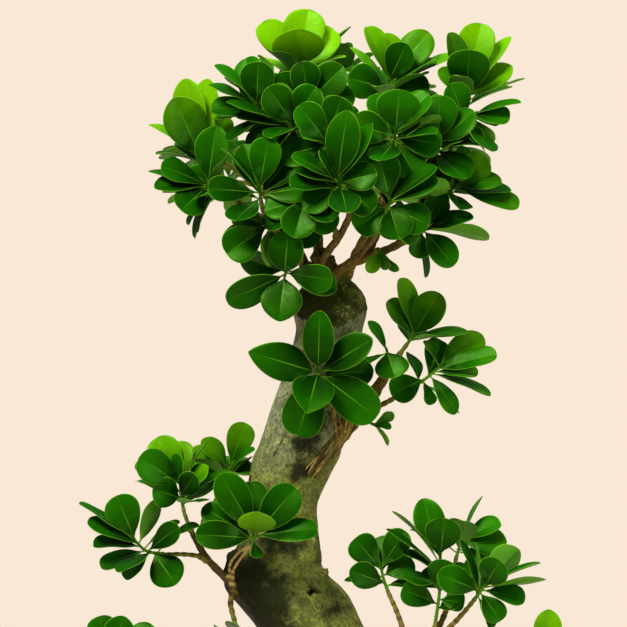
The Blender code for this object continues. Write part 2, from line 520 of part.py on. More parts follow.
def grow_leaves():
    """The leaves of every shoot: first those listed in its rows, then the spirals that fill in behind them.
    Each is turned or shortened until it is clear of wood and of other shoots, and where it can be, of the
    blades beside it on its own shoot."""
    wood = wood_obstacles()
    shoots, grown, blades = {}, {}, {}
    for name, shoot in SHOOTS.items():
        shoots[name] = [obstacle(*tube_polygons(*stem_outline(shoot, GUARD)))]
        grown[name], blades[name] = [], []
    for filling in (False, True):
        for order, (name, shoot) in enumerate(SHOOTS.items()):
            _, stem = shoot_path(shoot)
            others = wood + [found for other, list_ in shoots.items() if other != name for found in list_]
            seen, total = len(shoot.leaves), len(shoot.leaves) + shoot.fill
            spacing = min(shoot.step, STEM_LEAFY * path_length(stem) / total)
            for index in range(seen, total) if filling else range(seen):
                base = stem_point(stem, index * spacing)
                leaf = fitted_leaf(shoot, index, order, base, others, blades[name])
                if leaf:
                    grown[name].append(leaf)
                    shoots[name].append(obstacle(*blade_polygons(leaf)))
                    blades[name].append(obstacle(*blade_polygons(leaf, BLADE_FREE)))
    return grown


def fitted_leaf(shoot, index, order, base, others, blades):
    """The first nudge of a leaf that is clear of everything, or else the first that misses the others."""
    fitting = []
    for nudge in NUDGES:
        leaf = make_leaf(shoot, index, order, base, nudge)
        if not all(clear_of(blade_polygons(leaf, 0.0, grow), others) for grow in (0.0, GUARD)):
            continue
        if clear_of(blade_polygons(leaf, BLADE_FREE, 0.0), blades):
            return leaf
        fitting.append(leaf)
    return fitting[0] if fitting else None


def make_leaf(shoot, index, order, base, nudge):
    """Leaf number `index` of a shoot, from its row or, past the rows, from the spiral."""
    axis = Vector(shoot.axis).normalized()
    if index < len(shoot.leaves):
        return seen_leaf(base, shoot.leaves[index], axis, *nudge)
    count = max(shoot.fill, SPIRAL_LEAST)
    place = index - len(shoot.leaves) + count - shoot.fill
    return spiral_leaf(base, place, count, PHASE_STEP * order, axis, *nudge)


def path_length(path):
    return sum((b - a).length for a, b in zip(path, path[1:]))


def stem_point(stem, back):
    """The point on a green stem a distance back from just under its tip."""
    back += STEM_TOP
    for i in range(len(stem) - 1, 0, -1):
        span = (stem[i] - stem[i - 1]).length
        if back <= span:
            return stem[i].lerp(stem[i - 1], back / span)
        back -= span
    return stem[0]


# ---------------------------------------------------------------- objects


def collection(name):
    made = bpy.data.collections.new(name)
    bpy.context.scene.collection.children.link(made)
    return made


def material(name, color, roughness):
    made = bpy.data.materials.new(name)
    made.use_nodes = True
    shader = made.node_tree.nodes["Principled BSDF"]
    shader.inputs["Base Color"].default_value = (*color, 1.0)
    shader.inputs["Roughness"].default_value = roughness
    shader.inputs["Metallic"].default_value = 0.0
    return made


def mesh_object(name, mesh, where, look=None):
    made = bpy.data.objects.new(name, mesh)
    where.objects.link(made)
    if look:
        mesh.materials.clear()
        mesh.materials.append(look)
    return made


def as_helper(made):
    made.hide_render = True
    made.display_type = "WIRE"
    return made


def moved_to(where, made, name):
    """A helper object just added, renamed and moved to its own collection."""
    made.name = name
    for holder in list(made.users_collection):
        holder.objects.unlink(made)
    where.objects.link(made)
    return as_helper(made)


def tube_mesh(name, path, radii, resolution):
    """A closed mesh from a curve with a round bevel and filled caps."""
    curve = bpy.data.curves.new(name, "CURVE")
    curve.dimensions = "3D"
    curve.bevel_depth = MM
    curve.bevel_resolution = resolution
    curve.use_fill_caps = True
    spline = curve.splines.new("POLY")
    spline.points.add(len(path) - 1)
    for point, place, radius in zip(spline.points, path, radii):
        point.co = (*(place * MM), 1.0)
        point.radius = radius
    holder = bpy.data.objects.new(name, curve)
    bpy.context.scene.collection.objects.link(holder)
    graph = bpy.context.evaluated_depsgraph_get()
    mesh = bpy.data.meshes.new_from_object(holder.evaluated_get(graph))
    bpy.data.objects.remove(holder)
    bpy.data.curves.remove(curve)
    work = bmesh.new()
    work.from_mesh(mesh)
    bmesh.ops.remove_doubles(work, verts=work.verts, dist=1e-5)
    bmesh.ops.recalc_face_normals(work, faces=work.faces)
    work.to_mesh(mesh)
    work.free()
    return mesh


def polygon_mesh(name, points, faces):
    mesh = bpy.data.meshes.new(name)
    mesh.from_pydata([p * MM for p in points], [], faces)
    return mesh


def add_boolean(made, operation, other, solver="EXACT"):
    change = made.modifiers.new(operation.lower(), "BOOLEAN")
    change.operation = operation
    change.solver = solver
    change.object = other
    return change


def united(name, meshes, where, look=None, solver="EXACT"):
    """One object that is the union of all the meshes, with nothing left to evaluate."""
    pieces = [mesh_object(f"{name}_{i}", mesh, where) for i, mesh in enumerate(meshes)]
    for piece in pieces[1:]:
        add_boolean(pieces[0], "UNION", piece, solver)
    graph = bpy.context.evaluated_depsgraph_get()
    mesh = bpy.data.meshes.new_from_object(pieces[0].evaluated_get(graph))
    for piece in pieces:
        bpy.data.objects.remove(piece)
    mesh.name = name
    return mesh_object(name, mesh, where, look)


def smooth(made, angle=40.0):
    made.data.shade_smooth()
    made.data.set_sharp_from_angle(angle=math.radians(angle))
    return made


def turned(name, profile, where, look):
    """An oval body from a profile of radius and height that runs from the axis round to the axis."""
    mesh = bpy.data.meshes.new(name)
    edges = [(i, i + 1) for i in range(len(profile) - 1)]
    mesh.from_pydata([(r * MM, 0.0, z * MM) for r, z in profile], edges, [])
    made = mesh_object(name, mesh, where, look)
    made.scale = (1.0, POT_SQUEEZE, 1.0)
    screw = made.modifiers.new("turn", "SCREW")
    screw.steps = TURN_STEPS
    screw.render_steps = TURN_STEPS
    screw.use_merge_vertices = True
    screw.merge_threshold = 1e-5
    screw.use_smooth_shade = True
    return made


# ---------------------------------------------------------------- pot and soil


def inner_radius(height):
    """Radius of the pot's inner wall at a height."""
    share = height / POT_HEIGHT
    return POT_BASE_RADIUS + (POT_TOP_RADIUS - POT_BASE_RADIUS) * share - POT_WALL


def make_pot(where, cutters, looks):
    rim = POT_HEIGHT - POT_RIM_DEPTH
    profile = (
        (0, POT_FLOOR),
        (inner_radius(POT_FLOOR) - POT_CORNER, POT_FLOOR),
        (inner_radius(POT_FLOOR), POT_FLOOR + POT_CORNER),
        (inner_radius(POT_HEIGHT), POT_HEIGHT - POT_EDGE),
        (inner_radius(POT_HEIGHT) + POT_EDGE, POT_HEIGHT),
        (POT_RIM_RADIUS - POT_EDGE, POT_HEIGHT),
        (POT_RIM_RADIUS, POT_HEIGHT - POT_EDGE),
        (POT_RIM_RADIUS, rim + POT_CORNER),
        (POT_RIM_RADIUS - POT_EDGE, rim),
        (POT_TOP_RADIUS - RIM_UNDERCUT, rim - POT_EDGE),
        (POT_BASE_RADIUS + POT_EDGE, POT_FOOT),
        (POT_BASE_RADIUS, 0),
        (0, 0),
    )
    pot = turned("pot", profile, where, looks["glaze"])
    for name, side in (("drain_left", -1), ("drain_right", 1)):
        depth = 3 * POT_FLOOR * MM
        bpy.ops.mesh.primitive_cylinder_add(vertices=DRAIN_SIDES, radius=DRAIN_RADIUS * MM, depth=depth)
        bpy.context.object.location.x = side * DRAIN_OFFSET * MM
        add_boolean(pot, "DIFFERENCE", moved_to(cutters, bpy.context.object, name))


def make_screens(where, looks):
    """A square lattice over each drain hole: a flat grid without its openings, made thick."""
    lines = 2 * SCREEN_CELLS + 1
    pitch = (SCREEN_SIDE - SCREEN_STRAND) / SCREEN_CELLS
    places = [(i // 2) * pitch + (i % 2) * SCREEN_STRAND - SCREEN_SIDE / 2 for i in range(lines + 1)]
    for name, side in (("drain_screen_left", -1), ("drain_screen_right", 1)):
        work = bmesh.new()
        bmesh.ops.create_grid(work, x_segments=lines, y_segments=lines, size=0.5)
        openings = []
        for face in work.faces:
            centre = face.calc_center_median()
            column, row = (int((value + 0.5) * lines) for value in centre.xy)
            if column % 2 and row % 2:
                openings.append(face)
        bmesh.ops.delete(work, geom=openings, context="FACES")
        for vert in work.verts:
            vert.co.x, vert.co.y = (places[round((value + 0.5) * lines)] * MM for value in vert.co.xy)
        mesh = bpy.data.meshes.new(name)
        work.to_mesh(mesh)
        work.free()
        screen = mesh_object(name, mesh, where, looks["screen"])
        screen.location = (side * DRAIN_OFFSET * MM, 0, (POT_FLOOR + GAP) * MM)
        strands = screen.modifiers.new("strands", "SOLIDIFY")
        strands.thickness = SCREEN_STRAND * MM
        strands.offset = 1.0


def make_soil(where, cutters, looks, cutter):
    wall, corner = inner_radius(POT_FLOOR) - GAP, POT_CORNER + 1
    profile = (
        *[(radius, SOIL_EDGE + height) for radius, height in SOIL_MOUND],
        (inner_radius(SOIL_EDGE) - GAP, SOIL_EDGE),
        (wall, POT_FLOOR + corner),
        (wall - corner, POT_FLOOR + GAP),
        (0, POT_FLOOR + GAP),
    )
    soil = turned("soil", profile, where, looks["soil"])
    add_boolean(soil, "DIFFERENCE", cutter)
    for name, side in (("recess_left", -1), ("recess_right", 1)):
        bpy.ops.mesh.primitive_cube_add(size=1.0, location=(side * DRAIN_OFFSET * MM, 0, POT_FLOOR * MM))
        recess = moved_to(cutters, bpy.context.object, name)
        recess.scale = (RECESS_SIDE * MM, RECESS_SIDE * MM, RECESS_HEIGHT * MM)
        add_boolean(soil, "DIFFERENCE", recess)


# ---------------------------------------------------------------- wood


def trunk_meshes(grow):
    """The trunk with its dome and surface roots, each radius larger by `grow`."""
    line = [Vector(p) for p in TRUNK]
    path, radii = [p.xyz for p in line], [p.w + grow for p in line]
    for ring in range(1, DOME_RINGS + 1):
        angle = math.pi / 2 * ring / (DOME_RINGS + DOME_OPEN)
        path.append(line[-1].xyz + UP * (DOME_RADIUS + grow) * math.sin(angle))
        radii.append((DOME_RADIUS + grow) * math.cos(angle))
    meshes = [tube_mesh("trunk", path, radii, TRUNK_RESOLUTION)]
    for index in range(ROOT_COUNT):
        root, size = root_path(index)
        radii = [r + grow for r in taper(size, size * (1 - ROOT_TAPER), len(root))]
        meshes.append(tube_mesh("root", root, radii, LIMB_RESOLUTION))
    return meshes


def root_path(index):
    """Path of a surface root and its radius at the trunk: no two leave at an even spacing."""
    shift, stretch, swing, swell = (math.sin(index * rate) for rate in ROOT_RATES)
    angle = math.tau * (index + ROOT_SHIFT * shift) / ROOT_COUNT
    reach = ROOT_REACH + ROOT_REACH_SPREAD * stretch
    out = Vector((math.cos(angle), math.sin(angle) * POT_SQUEEZE, 0))
    bend = Vector((-math.sin(angle), math.cos(angle), 0)) * ROOT_BEND * swing
    points = [
        out * ROOT_START[0] + UP * ROOT_START[1],
        out * ROOT_SHOULDER[0] + UP * ROOT_SHOULDER[1],
        out * ROOT_BACK[0] + bend * 0.5 + UP * ROOT_BACK[1],
        out * reach + bend + UP * ROOT_END_HEIGHT,
    ]
    mean, spread = ROOT_SIZES
    return smooth_path(points, 2), ROOT_RADIUS * (mean + spread * swell)


def make_branch(name, where, looks, cutter):
    path = limb_path(name)
    limb = LIMBS[name]
    meshes = [tube_mesh(name, path, taper(limb.start, limb.end, len(path)), LIMB_RESOLUTION)]
    for shoot in SHOOTS.values():
        if shoot.limb == name:
            wood, _ = shoot_path(shoot)
            meshes.append(tube_mesh(name, wood, taper(*twig_radii(shoot), len(wood)), LIMB_RESOLUTION))
    branch = smooth(united(name, meshes, where, looks["bark"]))
    add_boolean(branch, "DIFFERENCE", cutter)


def make_shoot(name, leaves, where, looks):
    """A green stem and its end bud, with every leaf joined to it."""
    path, radii = stem_outline(SHOOTS[name])
    meshes = [tube_mesh(name, path, radii, STEM_RESOLUTION)]
    meshes += [polygon_mesh(name, *blade_polygons(leaf)) for leaf in leaves]
    smooth(united(name, meshes, where, looks["leaf"], "MANIFOLD"), 50)


def main():
    for old in list(bpy.data.objects):
        bpy.data.objects.remove(old)
    parts, cutters = collection("ficus_bonsai"), collection("cutters")
    looks = {
        "glaze": material("pot_glaze", (0.16, 0.17, 0.18), 0.3),
        "screen": material("screen_plastic", (0.03, 0.03, 0.03), 0.6),
        "soil": material("soil", (0.09, 0.055, 0.03), 0.95),
        "trunk": material("trunk_bark", (0.33, 0.34, 0.2), 0.8),
        "bark": material("branch_bark", (0.2, 0.13, 0.06), 0.8),
        "leaf": material("leaf", (0.04, 0.2, 0.02), 0.3),
    }
    cutter = as_helper(united("trunk_clearance", trunk_meshes(GAP), cutters))
    make_pot(parts, cutters, looks)
    make_screens(parts, looks)
    make_soil(parts, cutters, looks, cutter)
    smooth(united("trunk", trunk_meshes(0.0), parts, looks["trunk"]))
    for name in LIMBS:
        make_branch(name, parts, looks, cutter)
    grown = grow_leaves()
    for name, leaves in grown.items():
        make_shoot(name, leaves, parts, looks)


main()
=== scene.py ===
"""Looks of a grafted fig bonsai in a plain oval pot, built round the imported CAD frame.

The numbers are millimetres and degrees, and MM turns them into metres where a mesh is made. The paths of the
trunk, branches and shoots and the rows of leaves are those of the CAD, so each piece lies where its node is.
"""

import math
from collections import namedtuple

import bmesh
import bpy
import numpy as np
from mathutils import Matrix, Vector, noise
from mathutils.bvhtree import BVHTree


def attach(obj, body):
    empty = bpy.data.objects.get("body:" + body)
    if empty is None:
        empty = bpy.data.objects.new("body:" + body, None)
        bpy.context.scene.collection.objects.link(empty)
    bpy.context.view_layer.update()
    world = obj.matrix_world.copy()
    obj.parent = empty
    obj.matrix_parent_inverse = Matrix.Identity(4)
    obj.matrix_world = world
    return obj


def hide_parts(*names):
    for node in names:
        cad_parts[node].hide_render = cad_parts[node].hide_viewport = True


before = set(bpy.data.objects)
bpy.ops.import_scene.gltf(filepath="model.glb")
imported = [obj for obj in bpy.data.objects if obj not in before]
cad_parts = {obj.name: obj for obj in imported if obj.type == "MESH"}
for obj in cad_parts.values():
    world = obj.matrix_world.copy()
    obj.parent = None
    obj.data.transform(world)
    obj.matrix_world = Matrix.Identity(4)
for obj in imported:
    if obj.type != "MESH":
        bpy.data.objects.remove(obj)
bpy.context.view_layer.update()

MM = 0.001
BLOCK = 4000  # points compared with a path at a time, to save memory
GAP = 0.4  # clearance between pieces that touch

# Pot: an oval, so every radius below is along X, and Y is squeezed by POT_SQUEEZE.
POT_SQUEEZE = 0.78
POT_HEIGHT = 98.0
POT_BASE_RADIUS = 108.0
POT_TOP_RADIUS = 126.0
POT_RIM_RADIUS = 133.0
POT_RIM_DEPTH = 15.0
POT_WALL = 9.0
POT_FLOOR = 13.0
POT_EDGE = 3.0  # how far the rim's and the foot's edges are bevelled
POT_FOOT = 5.0  # height of the slant round the foot
RIM_UNDERCUT = 2.0
DRAIN_RADIUS = 11.0
DRAIN_OFFSET = 52.0
SOIL_EDGE = 84.0
SOIL_MOUND = ((0.0, 6.0), (60.0, 5.0), (96.0, 2.0))  # radius, and height above the soil's edge

# Trunk centre line from below the soil to the top of the callus dome: x, y, z, radius.
TRUNK = (
    (0, 0, 45, 50), (0, 0, 68, 60), (1, 0, 92, 61), (5, -1, 118, 53), (12, -2, 145, 47), (19, -4, 175, 44),
    (20, -6, 205, 42), (11, -6, 238, 39.5), (-7, -4, 266, 42), (-21, -2, 287, 45), (-35, 1, 306, 43.5),
    (-39, 3, 320, 40.5), (-36, 4, 333, 36), (-33, 4, 350, 32), (-31, 3, 377, 31), (-23, 1, 404, 35),
    (-16, -1, 423, 36), (-11, -2, 447, 33.5), (-1, -2, 482, 31), (6, -1, 509, 29.5), (10, 0, 526, 29.5),
    (11, 0, 541, 32.5),
)
DOME_RADIUS = 32.5
DOME_TEST = 4  # rings of the dome that leaves are tested against
ROOT_COUNT = 8
ROOT_RADIUS = 15.0

# Roots: each leaves the trunk's foot, runs out over the soil and dives into it.
ROOT_START = (30.0, 116.0)  # distance from the trunk's axis, height
ROOT_SHOULDER = (56.0, 101.0)
ROOT_BACK = (74.0, 92.0)
ROOT_END_HEIGHT = 80.0
ROOT_REACH = 96.0
ROOT_REACH_SPREAD = 6.0
ROOT_BEND = 9.0
ROOT_TAPER = 0.6
ROOT_SHIFT = 0.35  # how far a root strays from even spacing, as a share of that spacing
ROOT_SIZES = (0.82, 0.18)  # mean size of a root's foot and how much it varies
ROOT_RATES = (2.1, 1.7, 3.3, 2.7)  # how fast the angle, reach, bend and size vary from root to root

# Branches, twigs and green stems.
LIMB_SPANS = 2  # steps between two points of a branch's path
CURVE_REACH = 0.38  # handle length of a twig's curve, as a share of its chord
LEAVE_AT_END = 0.35  # how far a twig turns towards its tip as it leaves a branch's end
LEAVE_AT_SIDE = 1.2  # the same for one that leaves a branch's side
TWIG_STEPS = 24
TWIG_POINTS = 4
TWIG_SHARE = 0.7  # a twig's radius at its foot, as a share of its branch's radius there
TWIG_WIDEST = 3.0
TWIG_END = 1.9
STEM_START = 1.6
STEM_END = 1.1
STEM_POINTS = 3
STEM_FACE = 1.5  # the end of a woody twig that lies in line with its green stem
BUD_LENGTH = 7.0
BUD_POINT = 0.3
STEM_TOP = 1.0  # the youngest leaf's distance from the tip of its stem
STEM_LEAFY = 0.85  # share of a stem that can carry leaves

# Each branch: its path from inside the trunk outwards, and its radius at each end.
Limb = namedtuple("Limb", "path start end")
LIMBS = {
    "branch_crown_right": Limb(
        ((10, -12, 558), (17, -23, 577), (32, -33, 586), (56, -42, 595), (84, -48, 609), (106, -49, 627)),
        4.8, 2.8
    ),
    "branch_crown_centre": Limb(
        ((3, -16, 556), (5, -28, 588), (17, -42, 606), (27, -58, 626), (25, -76, 640)), 4.2, 2.6
    ),
    "branch_crown_left": Limb(
        ((-8, -6, 556), (-15, -16, 592), (-34, -27, 612), (-58, -35, 630), (-80, -38, 646)), 5.0, 2.8
    ),
    "branch_crown_up": Limb(
        ((4, 3, 560), (0, 0, 602), (-2, -8, 645), (-8, -12, 690), (-13, -15, 712)), 5.6, 2.8
    ),
    "branch_crown_back_left": Limb(
        ((-2, 18, 556), (-16, 34, 594), (-36, 54, 630), (-50, 68, 664)), 4.8, 2.8
    ),
    "branch_crown_back_right": Limb(
        ((20, 14, 556), (32, 32, 590), (50, 56, 626), (64, 72, 662)), 4.8, 2.8
    ),
    "branch_right_mid": Limb(
        ((4, -10, 418), (21, -13, 438), (37, -15, 455), (53, -17, 477), (68, -18, 500)), 11.0, 3.0
    ),
    "branch_left": Limb(
        ((-34, -8, 272), (-60, -18, 287), (-79, -26, 307), (-98, -32, 327), (-111, -36, 350)), 5.2, 2.5
    ),
    "branch_lower_right": Limb(((34, -12, 226), (60, -18, 232), (84, -22, 242), (104, -26, 256)), 7.0, 3.8),
    "branch_lower_left": Limb(
        ((-8, -12, 204), (-34, -18, 206), (-80, -26, 212), (-124, -30, 218), (-150, -32, 222)), 7.0, 2.8
    ),
}

# A leaf seen from the front: angle in the XZ plane (0 is +X, 90 is +Z), reach and width, tilt towards the
# front, and roll about its own midrib (0 shows the upper face, 90 the edge, more shows the underside).
# Each shoot leaves its branch at a fraction `at`, ends at `tip` growing along `axis`, and lists its leaves
# from the youngest to the oldest. `fill` more leaves spiral round its far side.
Shoot = namedtuple("Shoot", "limb at tip axis fill leaves step green", defaults=((), 2.6, 17.0))
SHOOTS = {
    "shoot_front": Shoot("branch_right_mid", 0.36, (0, -66, 491), (0, -0.9, 0.35), 0, (
        (88, 52, 28, 15, 6), (254, 36, 37, 40, 5), (32, 54, 30, 14, 30), (163, 63, 32, 6, 8),
        (323, 61, 36, 2, 5), (250, 55, 37, -9, 11), (4, 46, 28, -12, 15)), 1.6),
    "shoot_hanging": Shoot("branch_crown_left", 0.22, (-29, -84, 573), (-0.1, -0.85, -0.4), 2, (
        (85, 40, 31, 12, 10), (263, 40, 34, 18, 8), (204, 55, 28, 8, 28), (352, 40, 26, 10, 25),
        (160, 42, 26, -14, 35))),
    "shoot_left_tip": Shoot("branch_crown_left", 1.0, (-104, -50, 680), (-0.35, -0.3, 0.9), 5, (
        (84, 66, 28, -12, 12), (101, 68, 28, -4, 10), (114, 56, 38, 16, 8), (147, 54, 24, 0, 72),
        (130, 46, 24, -25, 30), (62, 44, 26, -14, 24))),
    "shoot_left_side": Shoot("branch_crown_left", 0.78, (-98, -62, 652), (-0.9, -0.3, 0.15), 5, (
        (225, 30, 28, 42, 10), (82, 52, 31, -2, 8), (158, 44, 28, 15, 50), (166, 54, 26, 0, 74),
        (176, 48, 26, 8, 55), (186, 42, 25, -6, 115), (200, 40, 24, -10, 104), (236, 38, 22, 0, 80),
        (250, 40, 24, 6, 74), (196, 36, 26, -22, 60))),
    "shoot_left_front": Shoot("branch_crown_left", 0.5, (-51, -98, 648), (-0.1, -0.75, 0.65), 4, (
        (133, 48, 24, 12, 80), (80, 46, 28, 10, 12), (176, 44, 25, 16, 26), (108, 44, 28, -2, 14),
        (52, 42, 28, -6, 15), (10, 40, 26, 0, 25))),
    "shoot_left_under": Shoot("branch_crown_left", 0.36, (-44, -84, 616), (-0.3, -0.8, -0.25), 3, (
        (213, 42, 32, 15, 6), (268, 34, 24, 0, 120), (292, 38, 26, 8, 30), (150, 36, 26, -10, 20))),
    "shoot_inner_left": Shoot("branch_crown_up", 0.8, (-22, -80, 706), (-0.3, -0.7, 0.65), 5, (
        (125, 38, 28, 16, 8), (162, 60, 26, 5, 74), (60, 38, 28, 12, 12), (170, 50, 26, -4, 62),
        (268, 38, 28, 20, 10), (205, 44, 28, 2, 28), (330, 38, 26, 6, 15))),
    "shoot_upper_left": Shoot("branch_crown_up", 0.7, (-54, -62, 722), (-0.55, -0.4, 0.75), 5, (
        (88, 38, 30, 16, 6), (136, 52, 24, 0, 72), (155, 47, 24, 2, 72), (104, 46, 28, -18, 25),
        (178, 42, 26, 10, 40), (62, 36, 26, -6, 30))),
    "shoot_peak_left": Shoot("branch_crown_up", 1.0, (-18, -24, 757), (0.05, -0.15, 1), 5, (
        (90, 33, 45, 42, 5), (80, 53, 36, -6, 6), (126, 52, 29, -4, 18), (112, 52, 24, -10, 60),
        (52, 50, 31, -10, 20), (48, 62, 24, -20, 80))),
    "shoot_peak_front": Shoot("branch_crown_up", 0.92, (-9, -64, 725), (0.1, -0.6, 0.8), 4, (
        (97, 36, 27, 16, 6), (46, 44, 30, 10, 14), (136, 38, 28, 4, 10), (14, 42, 28, 0, 16),
        (184, 38, 26, 5, 30))),
    "shoot_centre_front": Shoot("branch_crown_centre", 1.0, (18, -116, 656), (0, -0.75, 0.65), 5, (
        (82, 60, 30, 12, 22), (60, 57, 28, 4, 50), (151, 46, 25, 6, 62), (164, 40, 24, 0, 70),
        (16, 33, 25, 16, 18), (322, 36, 27, 10, 14), (214, 36, 26, 8, 30))),
    "shoot_centre_upper": Shoot("branch_crown_up", 0.55, (8, -92, 690), (0, -0.8, 0.6), 5, (
        (72, 40, 28, 14, 10), (128, 40, 28, 8, 12), (196, 42, 28, 4, 24), (18, 38, 26, 6, 20),
        (256, 36, 28, 20, 8), (310, 38, 26, 8, 14))),
    "shoot_centre_low": Shoot("branch_crown_centre", 0.5, (-10, -94, 642), (-0.2, -0.8, 0.4), 5, (
        (252, 36, 30, 20, 8), (110, 38, 26, 10, 14), (196, 38, 26, 4, 24), (306, 34, 26, 8, 16),
        (30, 34, 24, -4, 30))),
    "shoot_middle_front": Shoot("branch_crown_right", 0.42, (67, -98, 698), (0.1, -0.75, 0.65), 4, (
        (85, 37, 36, 15, 5), (54, 44, 26, 10, 40), (24, 42, 24, 0, 112), (165, 38, 30, 5, 10),
        (350, 40, 28, 5, 30), (216, 38, 28, 6, 15), (300, 36, 28, 12, 14))),
    "shoot_right_front": Shoot("branch_crown_right", 0.34, (62, -112, 638), (0.15, -0.8, 0.5), 4, (
        (108, 40, 30, 10, 10), (36, 50, 26, 5, 58), (26, 46, 24, 8, 50), (20, 54, 28, -6, 118),
        (288, 30, 30, 15, 8), (214, 34, 29, 10, 8), (336, 38, 28, 6, 20))),
    "shoot_peak_middle": Shoot("branch_crown_right", 0.5, (62, -28, 745), (0.1, -0.2, 1), 5, (
        (65, 36, 27, 20, 14), (112, 52, 28, 0, 48), (52, 57, 30, -6, 24), (94, 46, 26, -16, 30),
        (32, 61, 26, 2, 72), (40, 50, 26, 8, 66), (164, 36, 32, 16, 10), (136, 50, 24, -6, 70),
        (152, 42, 26, 0, 76), (10, 36, 26, 12, 30))),
    "shoot_inner_right": Shoot("branch_crown_right", 0.7, (104, -78, 690), (0.3, -0.7, 0.6), 5, (
        (92, 40, 30, 14, 10), (40, 42, 28, 6, 40), (140, 40, 28, 6, 14), (2, 42, 26, 0, 60),
        (200, 38, 28, 4, 20), (270, 36, 28, 14, 12), (322, 38, 26, 2, 40))),
    "shoot_peak_right": Shoot("branch_crown_right", 0.96, (130, -40, 735), (0.05, -0.2, 1), 4, (
        (78, 61, 32, -5, 10), (99, 62, 28, 0, 40), (53, 64, 26, -6, 66), (40, 48, 26, 2, 40),
        (82, 42, 36, 30, 6), (26, 54, 24, 6, 84), (129, 38, 24, 6, 48))),
    "shoot_right_upper": Shoot("branch_crown_right", 0.88, (134, -68, 714), (0.7, -0.4, 0.5), 4, (
        (14, 44, 24, 0, 74), (6, 34, 24, 10, 50), (176, 38, 29, 10, 12), (318, 30, 22, 0, 115),
        (204, 36, 28, 4, 20), (296, 36, 26, 5, 28), (110, 34, 26, 10, 24))),
    "shoot_right_side": Shoot("branch_crown_right", 1.0, (121, -60, 652), (0.8, -0.35, 0.4), 3, (
        (47, 36, 27, 6, 12), (6, 40, 24, 6, 48), (345, 57, 25, 0, 48), (78, 34, 22, -4, 24),
        (354, 50, 25, -10, 60), (108, 36, 26, -6, 20)), 2.2, 11.0),
    "shoot_right_low": Shoot("branch_crown_right", 0.72, (94, -84, 614), (0.8, -0.5, 0.1), 3, (
        (14, 42, 24, 6, 52), (352, 56, 24, -2, 116), (310, 40, 26, 8, 26), (262, 24, 19, 6, 14),
        (62, 36, 26, 0, 28), (150, 32, 26, 10, 20))),
    "shoot_under": Shoot("branch_crown_right", 0.5, (54, -56, 595), (0, -0.5, -0.8), 0, (
        (240, 21, 14, 8, 18), (296, 18, 12, 2, 34), (312, 25, 13, -4, 60)), 1.6, 8.0),
    "shoot_back_side_left": Shoot("branch_crown_back_left", 0.72, (-106, 22, 688), (-0.8, 0.25, 0.5), 11),
    "shoot_back_low_left": Shoot("branch_crown_back_left", 0.84, (-86, 88, 662), (-0.6, 0.75, 0.25), 11),
    "shoot_back_upper_left": Shoot("branch_crown_back_left", 1.0, (-48, 62, 736), (-0.35, 0.45, 0.85), 9),
    "shoot_back_centre": Shoot("branch_crown_back_left", 0.6, (-10, 116, 684), (-0.1, 0.9, 0.4), 11),
    "shoot_back_top": Shoot("branch_crown_up", 0.86, (18, 44, 752), (0.1, 0.3, 0.95), 11),
    "shoot_back_low_right": Shoot("branch_crown_back_right", 0.6, (50, 118, 664), (0.25, 0.9, 0.2), 11),
    "shoot_back_upper_right": Shoot("branch_crown_back_right", 1.0, (68, 84, 734), (0.35, 0.55, 0.75), 10),
    "shoot_back_side_right": Shoot("branch_crown_back_right", 0.86, (118, 50, 690), (0.8, 0.4, 0.4), 11),
    "shoot_right_mid_upper": Shoot("branch_right_mid", 1.0, (84, -24, 523), (0.5, -0.2, 0.85), 2, (
        (102, 50, 24, 0, 46), (57, 44, 29, 6, 8), (122, 38, 24, 6, 42), (6, 50, 24, 8, 66),
        (96, 32, 22, -12, 66)), 3.0, 12.0),
    "shoot_right_mid_outer": Shoot("branch_right_mid", 0.26, (107, -32, 495), (0.7, -0.2, 0.7), 2, (
        (110, 32, 24, 6, 74), (43, 55, 30, 0, 10), (9, 54, 24, 5, 42), (357, 38, 22, 10, 62),
        (340, 54, 24, 0, 68), (304, 40, 24, 2, 52), (70, 34, 26, -16, 20), (204, 32, 26, -4, 14),
        (286, 22, 18, 6, 56)), 3.2, 30.0),
    "shoot_right_mid_near": Shoot("branch_right_mid", 0.82, (60, -48, 509), (-0.1, -0.85, 0.4), 0, (
        (286, 24, 29, 32, 5), (122, 31, 20, 0, 62), (206, 34, 22, -4, 70))),
    "shoot_right_mid_low": Shoot("branch_right_mid", 0.36, (50, -41, 443), (0.6, -0.6, -0.3), 0, (
        (302, 21, 16, 4, 106), (32, 20, 14, 10, 48), (348, 17, 12, -4, 60)), 1.8, 11.0),
    "shoot_left_outer": Shoot("branch_left", 0.72, (-160, -54, 343), (-0.45, -0.3, 0.8), 2, (
        (113, 42, 30, 6, 5), (146, 60, 22, 0, 76), (65, 43, 24, -8, 128), (155, 50, 24, 5, 60),
        (178, 42, 24, 6, 60), (36, 38, 22, -12, 108), (199, 41, 24, 5, 56), (38, 43, 26, 8, 22),
        (226, 32, 24, 2, 48), (306, 34, 30, 15, 5)), 2.6, 30.0),
    "shoot_left_upper": Shoot("branch_left", 1.0, (-121, -44, 394), (-0.05, -0.2, 1), 4, (
        (88, 24, 20, 34, 55), (146, 42, 30, 22, 12), (116, 46, 29, -10, 8), (90, 40, 25, -16, 18),
        (65, 48, 22, -5, 80), (42, 32, 22, 6, 50), (150, 46, 24, -15, 124), (146, 48, 20, -24, 80),
        (58, 30, 25, 24, 14), (160, 26, 27, 14, 10)), 3.2, 26.0),
    "shoot_left_inner": Shoot("branch_left", 0.86, (-78, 10, 407), (0.1, 0.1, 1), 5, (
        (69, 40, 23, 2, 10), (134, 34, 21, 4, 42), (37, 36, 20, 0, 70), (157, 38, 25, 5, 22),
        (8, 22, 20, 6, 48), (208, 38, 25, 0, 28)), 2.6, 16.0),
    "shoot_left_front_low": Shoot("branch_left", 0.44, (-54, -80, 350), (0.1, -0.75, 0.6), 0, (
